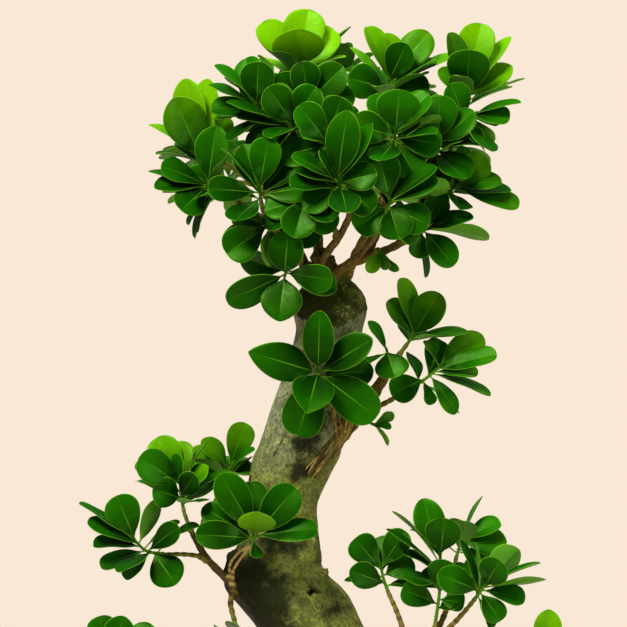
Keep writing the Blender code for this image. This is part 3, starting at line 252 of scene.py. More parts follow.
        (85, 20, 32, 48, 5), (120, 60, 29, 6, 12), (50, 54, 31, 6, 8), (7, 54, 24, 8, 38),
        (176, 50, 26, 8, 12), (148, 52, 28, -5, 14), (92, 50, 27, -14, 14), (280, 14, 16, 14, 50))),
    "shoot_left_low": Shoot("branch_left", 0.4, (-70, -34, 246), (-0.2, -0.3, -0.9), 1, (
        (215, 30, 20, 5, 40), (250, 32, 22, 10, 20), (300, 28, 20, 6, 30), (172, 28, 16, 0, 62),
        (150, 24, 14, 0, 80))),
    "shoot_low_right_near": Shoot("branch_lower_right", 0.5, (55, -32, 319), (-0.15, -0.2, 1), 0, (
        (57, 38, 24, 6, 10), (130, 36, 26, 5, 8), (85, 32, 25, -20, 14), (24, 29, 25, -8, 14),
        (163, 28, 18, -12, 48), (180, 34, 18, -5, 74), (154, 33, 23, 15, 8), (5, 22, 12, 2, 50)),
        2.6, 20.0),
    "shoot_low_right_middle": Shoot("branch_lower_right", 0.84, (107, -46, 330), (0.05, -0.35, 0.95), 0, (
        (84, 33, 31, 26, 5), (106, 55, 27, -8, 10), (132, 62, 20, -5, 100), (138, 58, 18, 5, 78),
        (150, 38, 20, 2, 75), (10, 28, 24, 4, 20), (166, 34, 22, -4, 60), (138, 27, 26, 8, 12),
        (80, 31, 26, 14, 10), (338, 28, 24, 6, 20), (152, 34, 23, 8, 10), (4, 27, 19, 10, 24)), 5.0, 62.0),
    "shoot_low_right_outer": Shoot("branch_lower_right", 1.0, (146, -56, 304), (0.5, -0.5, 0.7), 2, (
        (60, 26, 27, 34, 8), (46, 44, 29, -8, 155), (7, 54, 22, 2, 108), (24, 54, 20, 0, 84),
        (352, 38, 22, 6, 38), (158, 40, 25, 10, 12), (306, 30, 21, 12, 12), (110, 48, 20, 4, 70),
        (98, 44, 20, 8, 100))),
    "shoot_low_right_back": Shoot("branch_lower_right", 0.92, (127, 6, 342), (0.35, 0.25, 0.9), 3, (
        (64, 42, 20, 0, 84), (26, 38, 23, 2, 48), (7, 40, 25, 8, 18), (105, 24, 20, 4, 60),
        (16, 46, 18, -6, 84), (330, 34, 24, -12, 20))),
    "shoot_low_right_far": Shoot("branch_lower_right", 0.6, (198, -40, 240), (0.35, -0.3, 0.85), 3, (
        (84, 42, 25, 0, 5), (146, 38, 25, 4, 22), (48, 32, 24, -4, 44), (200, 34, 24, 6, 24),
        (330, 30, 24, 6, 30), (255, 26, 24, 20, 14)), 2.4, 16.0),
    "shoot_low_left_far": Shoot("branch_lower_left", 1.0, (-180, -36, 241), (-0.25, -0.3, 0.85), 2, (
        (111, 37, 25, 0, 8), (72, 38, 27, 4, 5), (40, 44, 24, 0, 30), (170, 34, 24, 4, 30),
        (205, 32, 24, 8, 24), (262, 28, 26, 22, 10), (320, 32, 24, 6, 26)), 2.4, 16.0),
}

# Leaves that spiral round a shoot, as fractions and degrees.
GOLDEN_ANGLE = 137.5
FILL_REACH = 46.0
FILL_WIDTH = 27.0
FILL_SPREAD = (26.0, 84.0)
FILL_YOUNG = 0.68
FILL_LIGHT = 0.45  # how far the blades turn up to the light
SPIRAL_LEAST = 8  # a spiral with fewer leaves than this keeps its oldest ones
PHASE_STEP = 67.0  # turns the spiral of each shoot against that of the last

# Blade outline and cross-section.
PETIOLE = 0.12  # share of the leaf's length
OUTLINE_BASE = 0.9
OUTLINE_TIP = 0.5
PETIOLE_HALF_WIDTH = 0.85
BLADE_THICKNESS = 1.1
BLADE_MIDDLE = 0.42  # where the blade is thickest
BLADE_SHOULDER = 0.8
BLADE_FREE = 0.3  # from here out, a blade keeps clear of those on its own shoot where it can
GUARD = 1.0  # added all round a leaf when it is tested against others

# Turns and scales tried, in order, to keep a leaf clear of its neighbours: angle, tilt, scale.
NUDGES = (
    (0, 0, 1.0), (5, 6, 1.0), (-5, -6, 1.0), (0, 12, 1.0), (0, -12, 1.0), (10, 0, 0.95), (-10, 0, 0.95),
    (0, 0, 0.88), (8, 16, 0.88), (-8, -16, 0.88), (14, 0, 0.8), (-14, 0, 0.8), (0, 24, 0.8), (0, -24, 0.8),
    (0, 0, 0.7), (20, 10, 0.7), (-20, -10, 0.7), (0, 34, 0.66), (0, -34, 0.66),
)

UP = Vector((0.0, 0.0, 1.0))
FRONT = Vector((0.0, -1.0, 0.0))


# ---------------------------------------------------------------- paths and tubes


def smooth_path(points, spans):
    """Catmull-Rom curve through the points (each a Vector of any length), `spans` steps between two."""
    ends = [points[0] * 2 - points[1], *points, points[-1] * 2 - points[-2]]
    path = []
    for i in range(1, len(ends) - 2):
        a, b, c, d = ends[i - 1 : i + 3]
        for step in range(spans):
            t = step / spans
            bow, sway = a * 2 - b * 5 + c * 4 - d, b * 3 - a - c * 3 + d
            path.append((b * 2 + (c - a) * t + bow * t**2 + sway * t**3) * 0.5)
    return [*path, points[-1].copy()]


def point_along(path, share):
    """The point and direction at a share of a path's points."""
    place = share * (len(path) - 1)
    index = min(int(place), len(path) - 2)
    return path[index].lerp(path[index + 1], place - index), (path[index + 1] - path[index]).normalized()


def bezier(start, leave, arrive, end, steps):
    """Cubic curve from start to end that leaves and arrives along the unit directions given."""
    reach = (end - start).length * CURVE_REACH
    near, far = start + leave * reach, end - arrive * reach
    path = []
    for step in range(steps + 1):
        t = step / steps
        path.append(
            start * (1 - t) ** 3 + near * 3 * t * (1 - t) ** 2 + far * 3 * t * t * (1 - t) + end * t**3
        )
    return path


def limb_path(limb):
    return smooth_path([Vector(p) for p in LIMBS[limb].path], LIMB_SPANS)


def limb_radius(limb, share):
    return LIMBS[limb].start + (LIMBS[limb].end - LIMBS[limb].start) * share


def shoot_path(shoot):
    """The whole twig of a shoot, split into its woody part and its green stem."""
    start, along = point_along(limb_path(shoot.limb), shoot.at)
    tip, axis = Vector(shoot.tip), Vector(shoot.axis).normalized()
    turn = LEAVE_AT_END if shoot.at == 1.0 else LEAVE_AT_SIDE
    leave = (along + (tip - start).normalized() * turn).normalized()
    path = bezier(start, leave, axis, tip, TWIG_STEPS)
    left = 0.0
    for split in range(len(path) - 1, 0, -1):
        left += (path[split] - path[split - 1]).length
        if left > shoot.green:
            break
    split = max(split - 1, 2)
    wood, green = thinned(path[: split + 1], TWIG_POINTS), thinned(path[split:], STEM_POINTS)
    joint = (green[1] - green[0]).normalized()
    wood.insert(-1, wood[-1] - joint * STEM_FACE)
    green[0] = green[0] + joint * GAP
    return wood, green


def thinned(path, count):
    """At most `count` points of a path, evenly chosen, its ends kept."""
    count = min(count, len(path))
    return [path[round(i * (len(path) - 1) / (count - 1))].copy() for i in range(count)]


def twig_radii(shoot):
    """Radius of a shoot's woody twig at its start and end."""
    return min(TWIG_SHARE * limb_radius(shoot.limb, shoot.at), TWIG_WIDEST), TWIG_END


def tube_polygons(path, radii, sides=6):
    """Rings round a path and the faces between them: what the clearance test reads."""
    points = []
    for index, place in enumerate(path):
        along = (path[min(index + 1, len(path) - 1)] - path[max(index - 1, 0)]).normalized()
        side = along.cross(FRONT if abs(along.y) < 0.9 else UP).normalized()
        other = along.cross(side)
        for turn in range(sides):
            angle = math.tau * turn / sides
            points.append(place + (side * math.cos(angle) + other * math.sin(angle)) * radii[index])
    return points, ring_faces(len(path), sides)


def ring_faces(rings, sides):
    """The faces between rings of points, each ring `sides` round."""
    faces = []
    for ring in range(rings - 1):
        near, far = ring * sides, (ring + 1) * sides
        for turn in range(sides):
            after = (turn + 1) % sides
            faces.append([near + turn, near + after, far + after, far + turn])
    return faces


def taper(start, end, count):
    return [start + (end - start) * i / (count - 1) for i in range(count)]


# ---------------------------------------------------------------- leaves

Leaf = namedtuple("Leaf", "base along normal length half_width")


def seen_leaf(base, row, axis, turn=0.0, tip=0.0, scale=1.0):
    """A leaf from its row: angle, reach, width, tilt and roll as seen from the front."""
    angle, reach, width, tilt, roll = row
    tilt = math.radians(max(-60.0, min(66.0, tilt + tip)))
    angle = math.radians(angle + turn)
    across = Vector((math.cos(angle), 0.0, math.sin(angle)))
    along = (across * math.cos(tilt) + FRONT * math.sin(tilt)).normalized()
    facing = (FRONT - along * along.dot(FRONT)).normalized()
    inward = along.cross(facing)
    if inward.dot(axis + UP * 0.3) < 0:
        inward = -inward
    roll = math.radians(roll)
    normal = facing * math.cos(roll) + inward * math.sin(roll)
    return Leaf(base, along, normal, reach / math.cos(tilt) * scale, width / 2 * scale)


def spiral_leaf(base, index, count, phase, axis, turn=0.0, tip=0.0, scale=1.0):
    """A leaf of the spiral round a shoot's axis: the first is the youngest and most upright."""
    age = index / max(count - 1, 1)
    spread = math.radians(FILL_SPREAD[0] + (FILL_SPREAD[1] - FILL_SPREAD[0]) * age**0.8 + tip)
    angle = math.radians(phase + GOLDEN_ANGLE * index + turn)
    side = axis.cross(FRONT if abs(axis.y) < 0.9 else UP).normalized()
    out = side * math.cos(angle) + axis.cross(side) * math.sin(angle)
    along = (axis * math.cos(spread) + out * math.sin(spread)).normalized()
    normal = axis * (1 - FILL_LIGHT) + UP * FILL_LIGHT - out * 0.2
    normal = (normal - along * along.dot(normal)).normalized()
    size = (FILL_YOUNG + (1 - FILL_YOUNG) * min(1.0, age * 1.8)) * scale
    return Leaf(base, along, normal, FILL_REACH * size, FILL_WIDTH / 2 * size)


def half_width(leaf, share):
    """Half the width at a share of the leaf's length: narrow at the base, widest past the middle."""
    blade = min(max((share - PETIOLE) / (1 - PETIOLE), 0.0), 1.0)
    widest = OUTLINE_BASE / (OUTLINE_BASE + OUTLINE_TIP)
    peak = widest**OUTLINE_BASE * (1 - widest) ** OUTLINE_TIP
    half = leaf.half_width * blade**OUTLINE_BASE * (1 - blade) ** OUTLINE_TIP / peak
    return max(half, PETIOLE_HALF_WIDTH)


def blade_polygons(leaf, start=0.0, grow=0.0):
    """Closed blade, a ridged upper face over a flat underside, from a share of its length to the tip."""
    side = leaf.along.cross(leaf.normal)
    middle = max(BLADE_MIDDLE, start + 0.2)
    points = []
    for share in (start, middle, BLADE_SHOULDER):
        place = leaf.base + leaf.along * (leaf.length * share)
        half = half_width(leaf, share) + grow
        points += [place - leaf.normal * grow + side * half, place - leaf.normal * grow - side * half]
        if share < BLADE_SHOULDER:
            points.append(place + leaf.normal * (BLADE_THICKNESS + grow))
    points.append(leaf.base + leaf.along * (leaf.length + grow) - leaf.normal * grow)
    foot_right, foot_left, foot_top, right, left, top, right_out, left_out, end = range(9)
    faces = [
        [foot_left, foot_right, foot_top],
        [foot_left, foot_top, top, left],
        [foot_top, foot_right, right, top],
        [foot_right, foot_left, left, right],
        [left, top, left_out],
        [left_out, top, end],
        [end, top, right_out],
        [right_out, top, right],
        [left, left_out, right_out, right],
        [left_out, end, right_out],
    ]
    return points, faces


def obstacle(points, faces):
    corners = np.array(points)
    return corners.min(axis=0), corners.max(axis=0), BVHTree.FromPolygons(points, faces)


def clear_of(polygons, obstacles):
    """True if the shape crosses none of the obstacles."""
    corners = np.array(polygons[0])
    low, high, tree = corners.min(axis=0), corners.max(axis=0), None
    for other_low, other_high, other_tree in obstacles:
        if (low > other_high).any() or (high < other_low).any():
            continue
        tree = tree or BVHTree.FromPolygons(*polygons)
        if tree.overlap(other_tree):
            return False
    return True


def wood_obstacles():
    """The trunk with its dome, each branch, and each woody twig of a shoot."""
    trunk = smooth_path([Vector(p) for p in TRUNK], 2)
    found = [obstacle(*tube_polygons([p.xyz for p in trunk], [p.w for p in trunk], 12))]
    shares = [i / DOME_TEST for i in range(DOME_TEST + 1)]
    dome = [trunk[-1].xyz + UP * DOME_RADIUS * share for share in shares]
    dome_radii = [DOME_RADIUS * math.sqrt(max(1 - share**2, 0.01)) for share in shares]
    found.append(obstacle(*tube_polygons(dome, dome_radii, 12)))
    for name, limb in LIMBS.items():
        path = limb_path(name)
        found.append(obstacle(*tube_polygons(path, taper(limb.start + GUARD, limb.end + GUARD, len(path)))))
    for shoot in SHOOTS.values():
        wood, _ = shoot_path(shoot)
        wide, thin = twig_radii(shoot)
        found.append(obstacle(*tube_polygons(wood, taper(wide + GUARD, thin + GUARD, len(wood)))))
    return found


def stem_outline(shoot, grow=0.0):
    """Path and radii of a green stem that narrows into its end bud."""
    _, green = shoot_path(shoot)
    bud = green[-1] + Vector(shoot.axis).normalized() * BUD_LENGTH
    return [*green, bud], [*taper(STEM_START + grow, STEM_END + grow, len(green)), BUD_POINT + grow]


def grow_leaves():
    """The leaves of every shoot: first those listed in its rows, then the spirals that fill in behind them.
    Each is turned or shortened until it is clear of wood and of other shoots, and where it can be, of the
    blades beside it on its own shoot."""
    wood = wood_obstacles()
    shoots, grown, blades = {}, {}, {}
    for name, shoot in SHOOTS.items():
        shoots[name] = [obstacle(*tube_polygons(*stem_outline(shoot, GUARD)))]
        grown[name], blades[name] = [], []
    for filling in (False, True):
        for order, (name, shoot) in enumerate(SHOOTS.items()):
            _, stem = shoot_path(shoot)
            others = wood + [found for other, list_ in shoots.items() if other != name for found in list_]
            seen, total = len(shoot.leaves), len(shoot.leaves) + shoot.fill
            spacing = min(shoot.step, STEM_LEAFY * path_length(stem) / total)
            for index in range(seen, total) if filling else range(seen):
                base = stem_point(stem, index * spacing)
                leaf = fitted_leaf(shoot, index, order, base, others, blades[name])
                if leaf:
                    grown[name].append(leaf)
                    shoots[name].append(obstacle(*blade_polygons(leaf)))
                    blades[name].append(obstacle(*blade_polygons(leaf, BLADE_FREE)))
    return grown


def fitted_leaf(shoot, index, order, base, others, blades):
    """The first nudge of a leaf that is clear of everything, or else the first that misses the others."""
    fitting = []
    for nudge in NUDGES:
        leaf = make_leaf(shoot, index, order, base, nudge)
        if not all(clear_of(blade_polygons(leaf, 0.0, grow), others) for grow in (0.0, GUARD)):
            continue
        if clear_of(blade_polygons(leaf, BLADE_FREE, 0.0), blades):
            return leaf
        fitting.append(leaf)
    return fitting[0] if fitting else None


def make_leaf(shoot, index, order, base, nudge):
    """Leaf number `index` of a shoot, from its row or, past the rows, from the spiral."""
    axis = Vector(shoot.axis).normalized()
    if index < len(shoot.leaves):
        return seen_leaf(base, shoot.leaves[index], axis, *nudge)
    count = max(shoot.fill, SPIRAL_LEAST)
    place = index - len(shoot.leaves) + count - shoot.fill
    return spiral_leaf(base, place, count, PHASE_STEP * order, axis, *nudge)


def path_length(path):
    return sum((b - a).length for a, b in zip(path, path[1:]))


def stem_point(stem, back):
    """The point on a green stem a distance back from just under its tip."""
    back += STEM_TOP
    for i in range(len(stem) - 1, 0, -1):
        span = (stem[i] - stem[i - 1]).length
        if back <= span:
            return stem[i].lerp(stem[i - 1], back / span)
        back -= span
    return stem[0]


def inner_radius(height):
    """Radius of the pot's inner wall at a height."""
    share = height / POT_HEIGHT
    return POT_BASE_RADIUS + (POT_TOP_RADIUS - POT_BASE_RADIUS) * share - POT_WALL


def root_path(index):
    """Path of a surface root and its radius at the trunk: no two leave at an even spacing."""
    shift, stretch, swing, swell = (math.sin(index * rate) for rate in ROOT_RATES)
    angle = math.tau * (index + ROOT_SHIFT * shift) / ROOT_COUNT
    reach = ROOT_REACH + ROOT_REACH_SPREAD * stretch
    out = Vector((math.cos(angle), math.sin(angle) * POT_SQUEEZE, 0))
    bend = Vector((-math.sin(angle), math.cos(angle), 0)) * ROOT_BEND * swing
    points = [
        out * ROOT_START[0] + UP * ROOT_START[1],
        out * ROOT_SHOULDER[0] + UP * ROOT_SHOULDER[1],
        out * ROOT_BACK[0] + bend * 0.5 + UP * ROOT_BACK[1],
        out * reach + bend + UP * ROOT_END_HEIGHT,
    ]
    mean, spread = ROOT_SIZES
    return smooth_path(points, 2), ROOT_RADIUS * (mean + spread * swell)


# ---------------------------------------------------------------- meshes


def srgb(red, green, blue):
    """A colour from 0 to 255 in each channel, as the shader's linear RGBA."""
    channels = [value / 255 for value in (red, green, blue)]
    return (*[c / 12.92 if c <= 0.04045 else ((c + 0.055) / 1.055) ** 2.4 for c in channels], 1.0)


def smoothstep(low, high, value):
    share = np.clip((value - low) / (high - low), 0.0, 1.0)
    return share * share * (3 - 2 * share)


class Shape:
    """Points, faces, point attributes and a material number for each face, gathered before a mesh is made."""

    def __init__(self):
        self.points, self.faces, self.marks, self.numbers = [], [], {}, []
        self.count = 0

    def add(self, points, faces, number=0, **marks):
        self.points.append(np.asarray(points, float))
        self.faces += [[corner + self.count for corner in face] for face in faces]
        self.numbers += [number] * len(faces)
        for name, values in marks.items():
            filled = np.broadcast_to(np.asarray(values, float), len(points))
            self.marks.setdefault(name, []).append(filled)
        self.count += len(points)

    def mesh(self, name):
        made = bpy.data.meshes.new(name)
        made.from_pydata((np.concatenate(self.points) * MM).tolist(), [], self.faces)
        for mark_name, values in self.marks.items():
            mark(made, mark_name, np.concatenate(values))
        made.polygons.foreach_set("material_index", self.numbers)
        made.shade_smooth()
        return made


def piece(name, mesh, looks, slot, *nodes):
    """An object of the model that rides on the pot's body and stands for the CAD nodes named."""
    made = bpy.data.objects.new(name, mesh)
    bpy.context.scene.collection.objects.link(made)
    mesh.materials.clear()
    for look in looks:
        mesh.materials.append(look)
    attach(made, "root")
    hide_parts(*nodes)


def frames_along(path):
    """Two unit vectors across each point of a path, turned as little as can be from point to point."""
    tangents = np.gradient(path, axis=0)
    tangents /= np.linalg.norm(tangents, axis=1)[:, None]
    first = np.cross(tangents[0], (0, 1, 0) if abs(tangents[0][1]) < 0.9 else (1, 0, 0))
    sides = [first / np.linalg.norm(first)]
    for tangent in tangents[1:]:
        side = sides[-1] - tangent * (sides[-1] @ tangent)
        sides.append(side / np.linalg.norm(side))
    sides = np.array(sides)
    return sides, np.cross(tangents, sides)


def tube_faces(rings, sides):
    """The faces of a tube with flat ends."""
    end = (rings - 1) * sides
    return [*ring_faces(rings, sides), [*range(sides)][::-1], [*range(end, end + sides)]]


def tube_shape(path, radii, sides):
    """Rings round a path with flat ends."""
    path, radii = np.asarray(path, float), np.asarray(radii, float)
    across, other = frames_along(path)
    turns = np.arange(sides) * math.tau / sides
    ring = across[:, None] * np.cos(turns)[None, :, None] + other[:, None] * np.sin(turns)[None, :, None]
    points = (path[:, None] + ring * radii[:, None, None]).reshape(-1, 3)
    return points, tube_faces(len(path), sides)


def resampled(path, step):
    """Points about `step` apart along a smooth curve through the path, and their distance from its start."""
    fine = np.array(smooth_path([Vector(p) for p in path], 8))
    run = np.concatenate([[0], np.cumsum(np.linalg.norm(np.diff(fine, axis=0), axis=1))])
    places = np.linspace(0, run[-1], max(int(run[-1] / step) + 1, 3))
    return np.stack([np.interp(places, run, fine[:, k]) for k in range(3)], axis=1), places


def drop_crumbs(mesh):
    """Keeps only the largest shell of a skin, because remeshing can leave crumbs inside it."""
    work = bmesh.new()
    work.from_mesh(mesh)
    seen, shells = set(), []
    for first in work.verts:
        if first in seen:
            continue
        seen.add(first)
        shell = [first]
        for corner in shell:
            for edge in corner.link_edges:
                other = edge.other_vert(corner)
                if other not in seen:
                    seen.add(other)
                    shell.append(other)
        shells.append(shell)
    shells.sort(key=len)
    bmesh.ops.delete(work, geom=[corner for shell in shells[:-1] for corner in shell], context="VERTS")
    work.to_mesh(mesh)
    work.free()


def remeshed(name, shape, voxel, smoothing):
    """One skin round all of a shape's parts, with the joints between them rounded."""
    mesh = shape.mesh(name)
    holder = bpy.data.objects.new(name, mesh)
    bpy.context.scene.collection.objects.link(holder)
    skin = holder.modifiers.new("skin", "REMESH")
    skin.mode = "VOXEL"
    skin.voxel_size = voxel * MM
    relax = holder.modifiers.new("relax", "SMOOTH")
    relax.factor = 0.5
    relax.iterations = smoothing
    graph = bpy.context.evaluated_depsgraph_get()
    made = bpy.data.meshes.new_from_object(holder.evaluated_get(graph))
    bpy.data.objects.remove(holder)
    bpy.data.meshes.remove(mesh)
    made.name = name
    drop_crumbs(made)
    made.shade_smooth()
    return made


def read_points(items, field):
    values = np.empty(len(items) * 3, np.float32)
    items.foreach_get(field, values)
    return values.reshape(-1, 3).astype(float)


def mesh_points(mesh):
    return read_points(mesh.vertices, "co") / MM


def mesh_normals(mesh):
    return read_points(mesh.vertex_normals, "vector")


def move_points(mesh, points):
    mesh.vertices.foreach_set("co", (points * MM).astype(np.float32).ravel())
    mesh.update()


def mark(mesh, name, values):
    """A number or, from rows of three, a vector at each point of a mesh, for the materials to read."""
    values = np.asarray(values, np.float32)
    kind, field = ("FLOAT_VECTOR", "vector") if values.ndim == 2 else ("FLOAT", "value")
    mesh.attributes.new(name, kind, "POINT").data.foreach_set(field, values.ravel())


def rough(points, size, octaves=3, offset=0.0):
    """Fractal noise of about -1 to 1 at each point, its largest lumps `size` across."""
    shift = Vector((offset, offset * 1.7, -offset))
    return np.array([noise.fractal(Vector(p) / size + shift, 1.0, 2.0, octaves) for p in points])


def nearest(points, path):
    """For each point, the number of the nearest point of a path and the gap to it."""
    found, gaps = np.empty(len(points), int), np.empty(len(points))
    for start in range(0, len(points), BLOCK):
        block = slice(start, start + BLOCK)
        squares = ((points[block, None] - path[None]) ** 2).sum(axis=2)
        found[block], gaps[block] = squares.argmin(axis=1), np.sqrt(squares.min(axis=1))
    return found, gaps


# ---------------------------------------------------------------- leaves and green stems

COLUMN_PLACES = (0.055, 0.18, 0.42, 0.66, 0.86, 0.955, 1)  # from the midrib to the margin
BLADE_COLUMNS = np.array([*(-place for place in reversed(COLUMN_PLACES)), 0, *COLUMN_PLACES])
BLADE_ROWS = 18
ROW_CROWDING = 1.6  # above 1, rows stand closer together towards the tip
BLADE_CENTRE = 0.7  # thickness along the midrib
BLADE_EDGE = 0.42
PETIOLE_DEPTH = 1.3
TIP_HALF_WIDTH = 0.12
STEM_SIDES = 10
STEM_STEP = 1.2
STEM_SWELL, STEM_RATE = 0.12, 2.1  # how much a stem swells, and how often, in radians a millimetre
BUD_SHARES = np.linspace(0.15, 1, 6)  # of a bud's length, where its rings are
LEAF_SEED = 11
WIDER, LONGER = 1.08, 1.03  # a curled blade is cut wider and longer than the flat one it stands for

# Means and spreads, then least and most values, of what differs from leaf to leaf.
CURL = (16, 8)  # degrees from base to tip
TWIST = (0, 7)  # degrees
FOLD = (0.26, 0.08)  # how far the margin rises, as a share of the half width
ROLL = (0.05, 0.14)  # how far it rolls back down
WAVE, WAVES = (0.2, 0.75), 1.6  # height of the margin's waves, and how many there are
ROUND_FOOT, NARROW_FOOT = (0.76, 1.0), (0.6, 0.78)  # power of the outline at the blade's foot
POINTED_TIP = (0.7, 0.84)  # power at a pointed tip
BLUNT_TIP, BLUNT_SPREAD = 0.42, 0.22  # least power at any other, and how much more it may have
GROOVE_DEPTH, GROOVE_WIDTH = 0.3, 0.07  # of the groove over the midrib; the width is a share

# How bright each shoot's leaves are painted, from 0 to 1: partly paler young growth and partly painted light.
# Shoots not listed take the value below.
YOUNG_AND_LIT = {
    "shoot_peak_left": 1.0, "shoot_left_tip": 0.82, "shoot_peak_right": 0.72, "shoot_peak_middle": 0.6,
    "shoot_back_top": 0.7, "shoot_left_upper": 0.62, "shoot_left_inner": 0.6, "shoot_back_upper_left": 0.6,
    "shoot_back_upper_right": 0.6, "shoot_middle_front": 0.3, "shoot_right_mid_upper": 0.65,
    "shoot_low_right_far": 0.75, "shoot_right_side": 0.45, "shoot_low_right_middle": 0.3,
    "shoot_low_right_back": 0.35, "shoot_left_outer": 0.2, "shoot_upper_left": 0.35,
    "shoot_right_upper": 0.35, "shoot_under": 0.75, "shoot_right_mid_outer": 0.5,
    "shoot_right_mid_near": 0.4, "shoot_right_mid_low": 0.6, "shoot_low_right_outer": 0.3,
}
YOUNG_AND_LIT_ELSEWHERE = 0.16
YOUNG_FIRST, YOUNG_FALL = 1.12, 0.6  # times this for the youngest leaf, and this much less for the oldest
YOUNG_SPREAD = 0.06
FORWARD_SHADE = 0.3  # and times this for a leaf that points to the front, which is painted darker: painted shade
BRIGHTER = {("shoot_left_front_low", 0): 1.05, ("shoot_peak_left", 0): 0.78}  # single leaves, by number
# Shoots whose leaves are elliptic, and the numbers of those leaves that end in a long point.
POINTED = {"shoot_front": (1, 3), "shoot_hanging": (1,)}


def blade_grid():
    """A blade's faces and the numbers of its upper points, by row and column. Its margins are shared."""
    columns = len(BLADE_COLUMNS)
    upper = np.arange(BLADE_ROWS * columns).reshape(BLADE_ROWS, columns)
    lower = upper.copy()
    lower[:, 1:-1] = BLADE_ROWS * columns + np.arange(BLADE_ROWS * (columns - 2)).reshape(BLADE_ROWS, -1)
    faces = []
    for row in range(BLADE_ROWS - 1):
        for column in range(columns - 1):
            for grid, step in ((upper, 1), (lower, -1)):
                a, b = grid[row, column], grid[row, column + 1]
                c, d = grid[row + 1, column + 1], grid[row + 1, column]
                faces.append([a, b, c, d][::step])
    foot, end = [*upper[0], *lower[0, -2:0:-1]], [*upper[-1], *lower[-1, -2:0:-1]]
    return [*faces, foot[::-1], end], upper


def both_faces(grid):
    """Values at the points of a blade, upper face first, from those of a grid."""
    return np.concatenate([grid.ravel(), grid[:, 1:-1].ravel()])


def blade_width(leaf, share, foot, tip):
    """Half the width of a blade at shares of its length."""
    blade = np.clip((share - PETIOLE) / (1 - PETIOLE), 0, 1)
    widest = foot / (foot + tip)
    peak = widest**foot * (1 - widest) ** tip
    half = leaf.half_width * WIDER * blade**foot * (1 - blade) ** tip / peak
    return np.maximum(half, np.where(share < 0.5, PETIOLE_HALF_WIDTH, TIP_HALF_WIDTH))


def curled_midrib(leaf, share, curl, twist):
    """Points of a midrib bent into an arc, and the directions sideways and up at each."""
    along, normal = np.array(leaf.along), np.array(leaf.normal)
    side = np.cross(along, normal)
    bend = curl * share
    first = along * math.cos(curl / 2) + normal * math.sin(curl / 2)
    second = normal * math.cos(curl / 2) - along * math.sin(curl / 2)
    radius = leaf.length * LONGER / curl
    middle = np.array(leaf.base) + np.outer(np.sin(bend), first) * radius
    middle -= np.outer(1 - np.cos(bend), second) * radius
    up = np.outer(np.cos(bend), second) + np.outer(np.sin(bend), first)
    turn = twist * (share - 0.3)
    sideways = np.outer(np.cos(turn), side) + up * np.sin(turn)[:, None]
    return middle, sideways, up * np.cos(turn)[:, None] - np.outer(np.sin(turn), side)


def fine_leaf(shape, leaf, young, elliptic, pointed, random):
    """A thin closed blade, folded at its groove, curled and a little waved, on a round petiole."""
    curl = math.radians(random.normal(*CURL))
    fold, roll = random.normal(*FOLD), random.uniform(*ROLL)
    wave, phase = random.uniform(*WAVE), random.uniform(0, math.tau)
    twist = math.radians(random.normal(*TWIST))
    foot = random.uniform(*(NARROW_FOOT if elliptic else ROUND_FOOT))
    tip = random.uniform(*POINTED_TIP) if pointed else BLUNT_TIP + BLUNT_SPREAD * random.uniform() ** 1.6
    share = 1 - (1 - np.linspace(0, 1, BLADE_ROWS)) ** ROW_CROWDING
    half = blade_width(leaf, share, foot, tip)[:, None]
    middle, sideways, up = curled_midrib(leaf, share, curl, twist)
    across, edge, share = BLADE_COLUMNS, np.abs(BLADE_COLUMNS), share[:, None]
    stalk = 1 - smoothstep(PETIOLE * 0.6, PETIOLE * 2.4, share)
    blade = 1 - stalk
    lift = half * (fold * edge**1.3 - roll * edge**4) * blade
    lift += wave * np.sin(math.tau * WAVES * share + phase) * blade * (np.sign(across) * edge**3)
    lift -= GROOVE_DEPTH * np.exp(-((across / GROOVE_WIDTH) ** 2)) * ((1 - share) * blade)
    depth = (BLADE_EDGE + (BLADE_CENTRE - BLADE_EDGE) * (1 - edge**2)) * blade
    depth = depth + stalk * PETIOLE_DEPTH * np.sqrt(np.maximum(1 - edge**2, 0.02))
    depth *= 0.35 + 0.65 * smoothstep(0, 0.14, 1 - share)
    depth[:, [0, -1]] = 0.0
    breadth = half * across * (1 - 0.5 * fold**2)
    flat = middle[:, None] + sideways[:, None] * breadth[:, :, None]
    flat = flat + up[:, None] * (lift + BLADE_THICKNESS * 0.3)[:, :, None]
    off = up[:, None] * (depth / 2)[:, :, None]
    points = np.concatenate([(flat + off).reshape(-1, 3), (flat - off)[:, 1:-1].reshape(-1, 3)])
    faces, upper = blade_grid()
    under = (np.arange(len(points)) >= upper.size) * 1.0
    under[upper[:, [0, -1]].ravel()] = 0.5
    shape.add(
        points, faces, 0, under=under, young=young, tint=random.uniform(0, 1),
        across=both_faces(np.broadcast_to(across, upper.shape)),
        along=both_faces(np.broadcast_to(share, upper.shape)),
        rim=both_faces(np.minimum(half * (1 - edge), (1 - share) * leaf.length)),
    )


def fine_stem(shape, name, random):
    """The green stem with a swelling under each leaf, and the pointed bud at its end."""
    path, radii = stem_outline(SHOOTS[name])
    line, run = resampled(path[:-1], STEM_STEP)
    bud = np.array(path[-1]) - line[-1]
    line = np.concatenate([line, line[-1] + BUD_SHARES[:, None] * bud])
    swells = 1 + STEM_SWELL * np.sin(run * STEM_RATE + random.uniform(0, 6))
    body = np.linspace(radii[0], radii[-2], len(run)) * swells
    sheath = radii[-2] * (1.15 * (1 - BUD_SHARES**1.6) + 0.1)
    line[0] = line[0] - (line[1] - line[0]) * 0.4
    points, faces = tube_shape(line, np.concatenate([body, sheath]), STEM_SIDES)
    share = np.repeat(np.linspace(0, 1, len(line)), STEM_SIDES)
    shape.add(points, faces, 1, across=0, along=share, under=0, rim=9, young=0, tint=0.5)


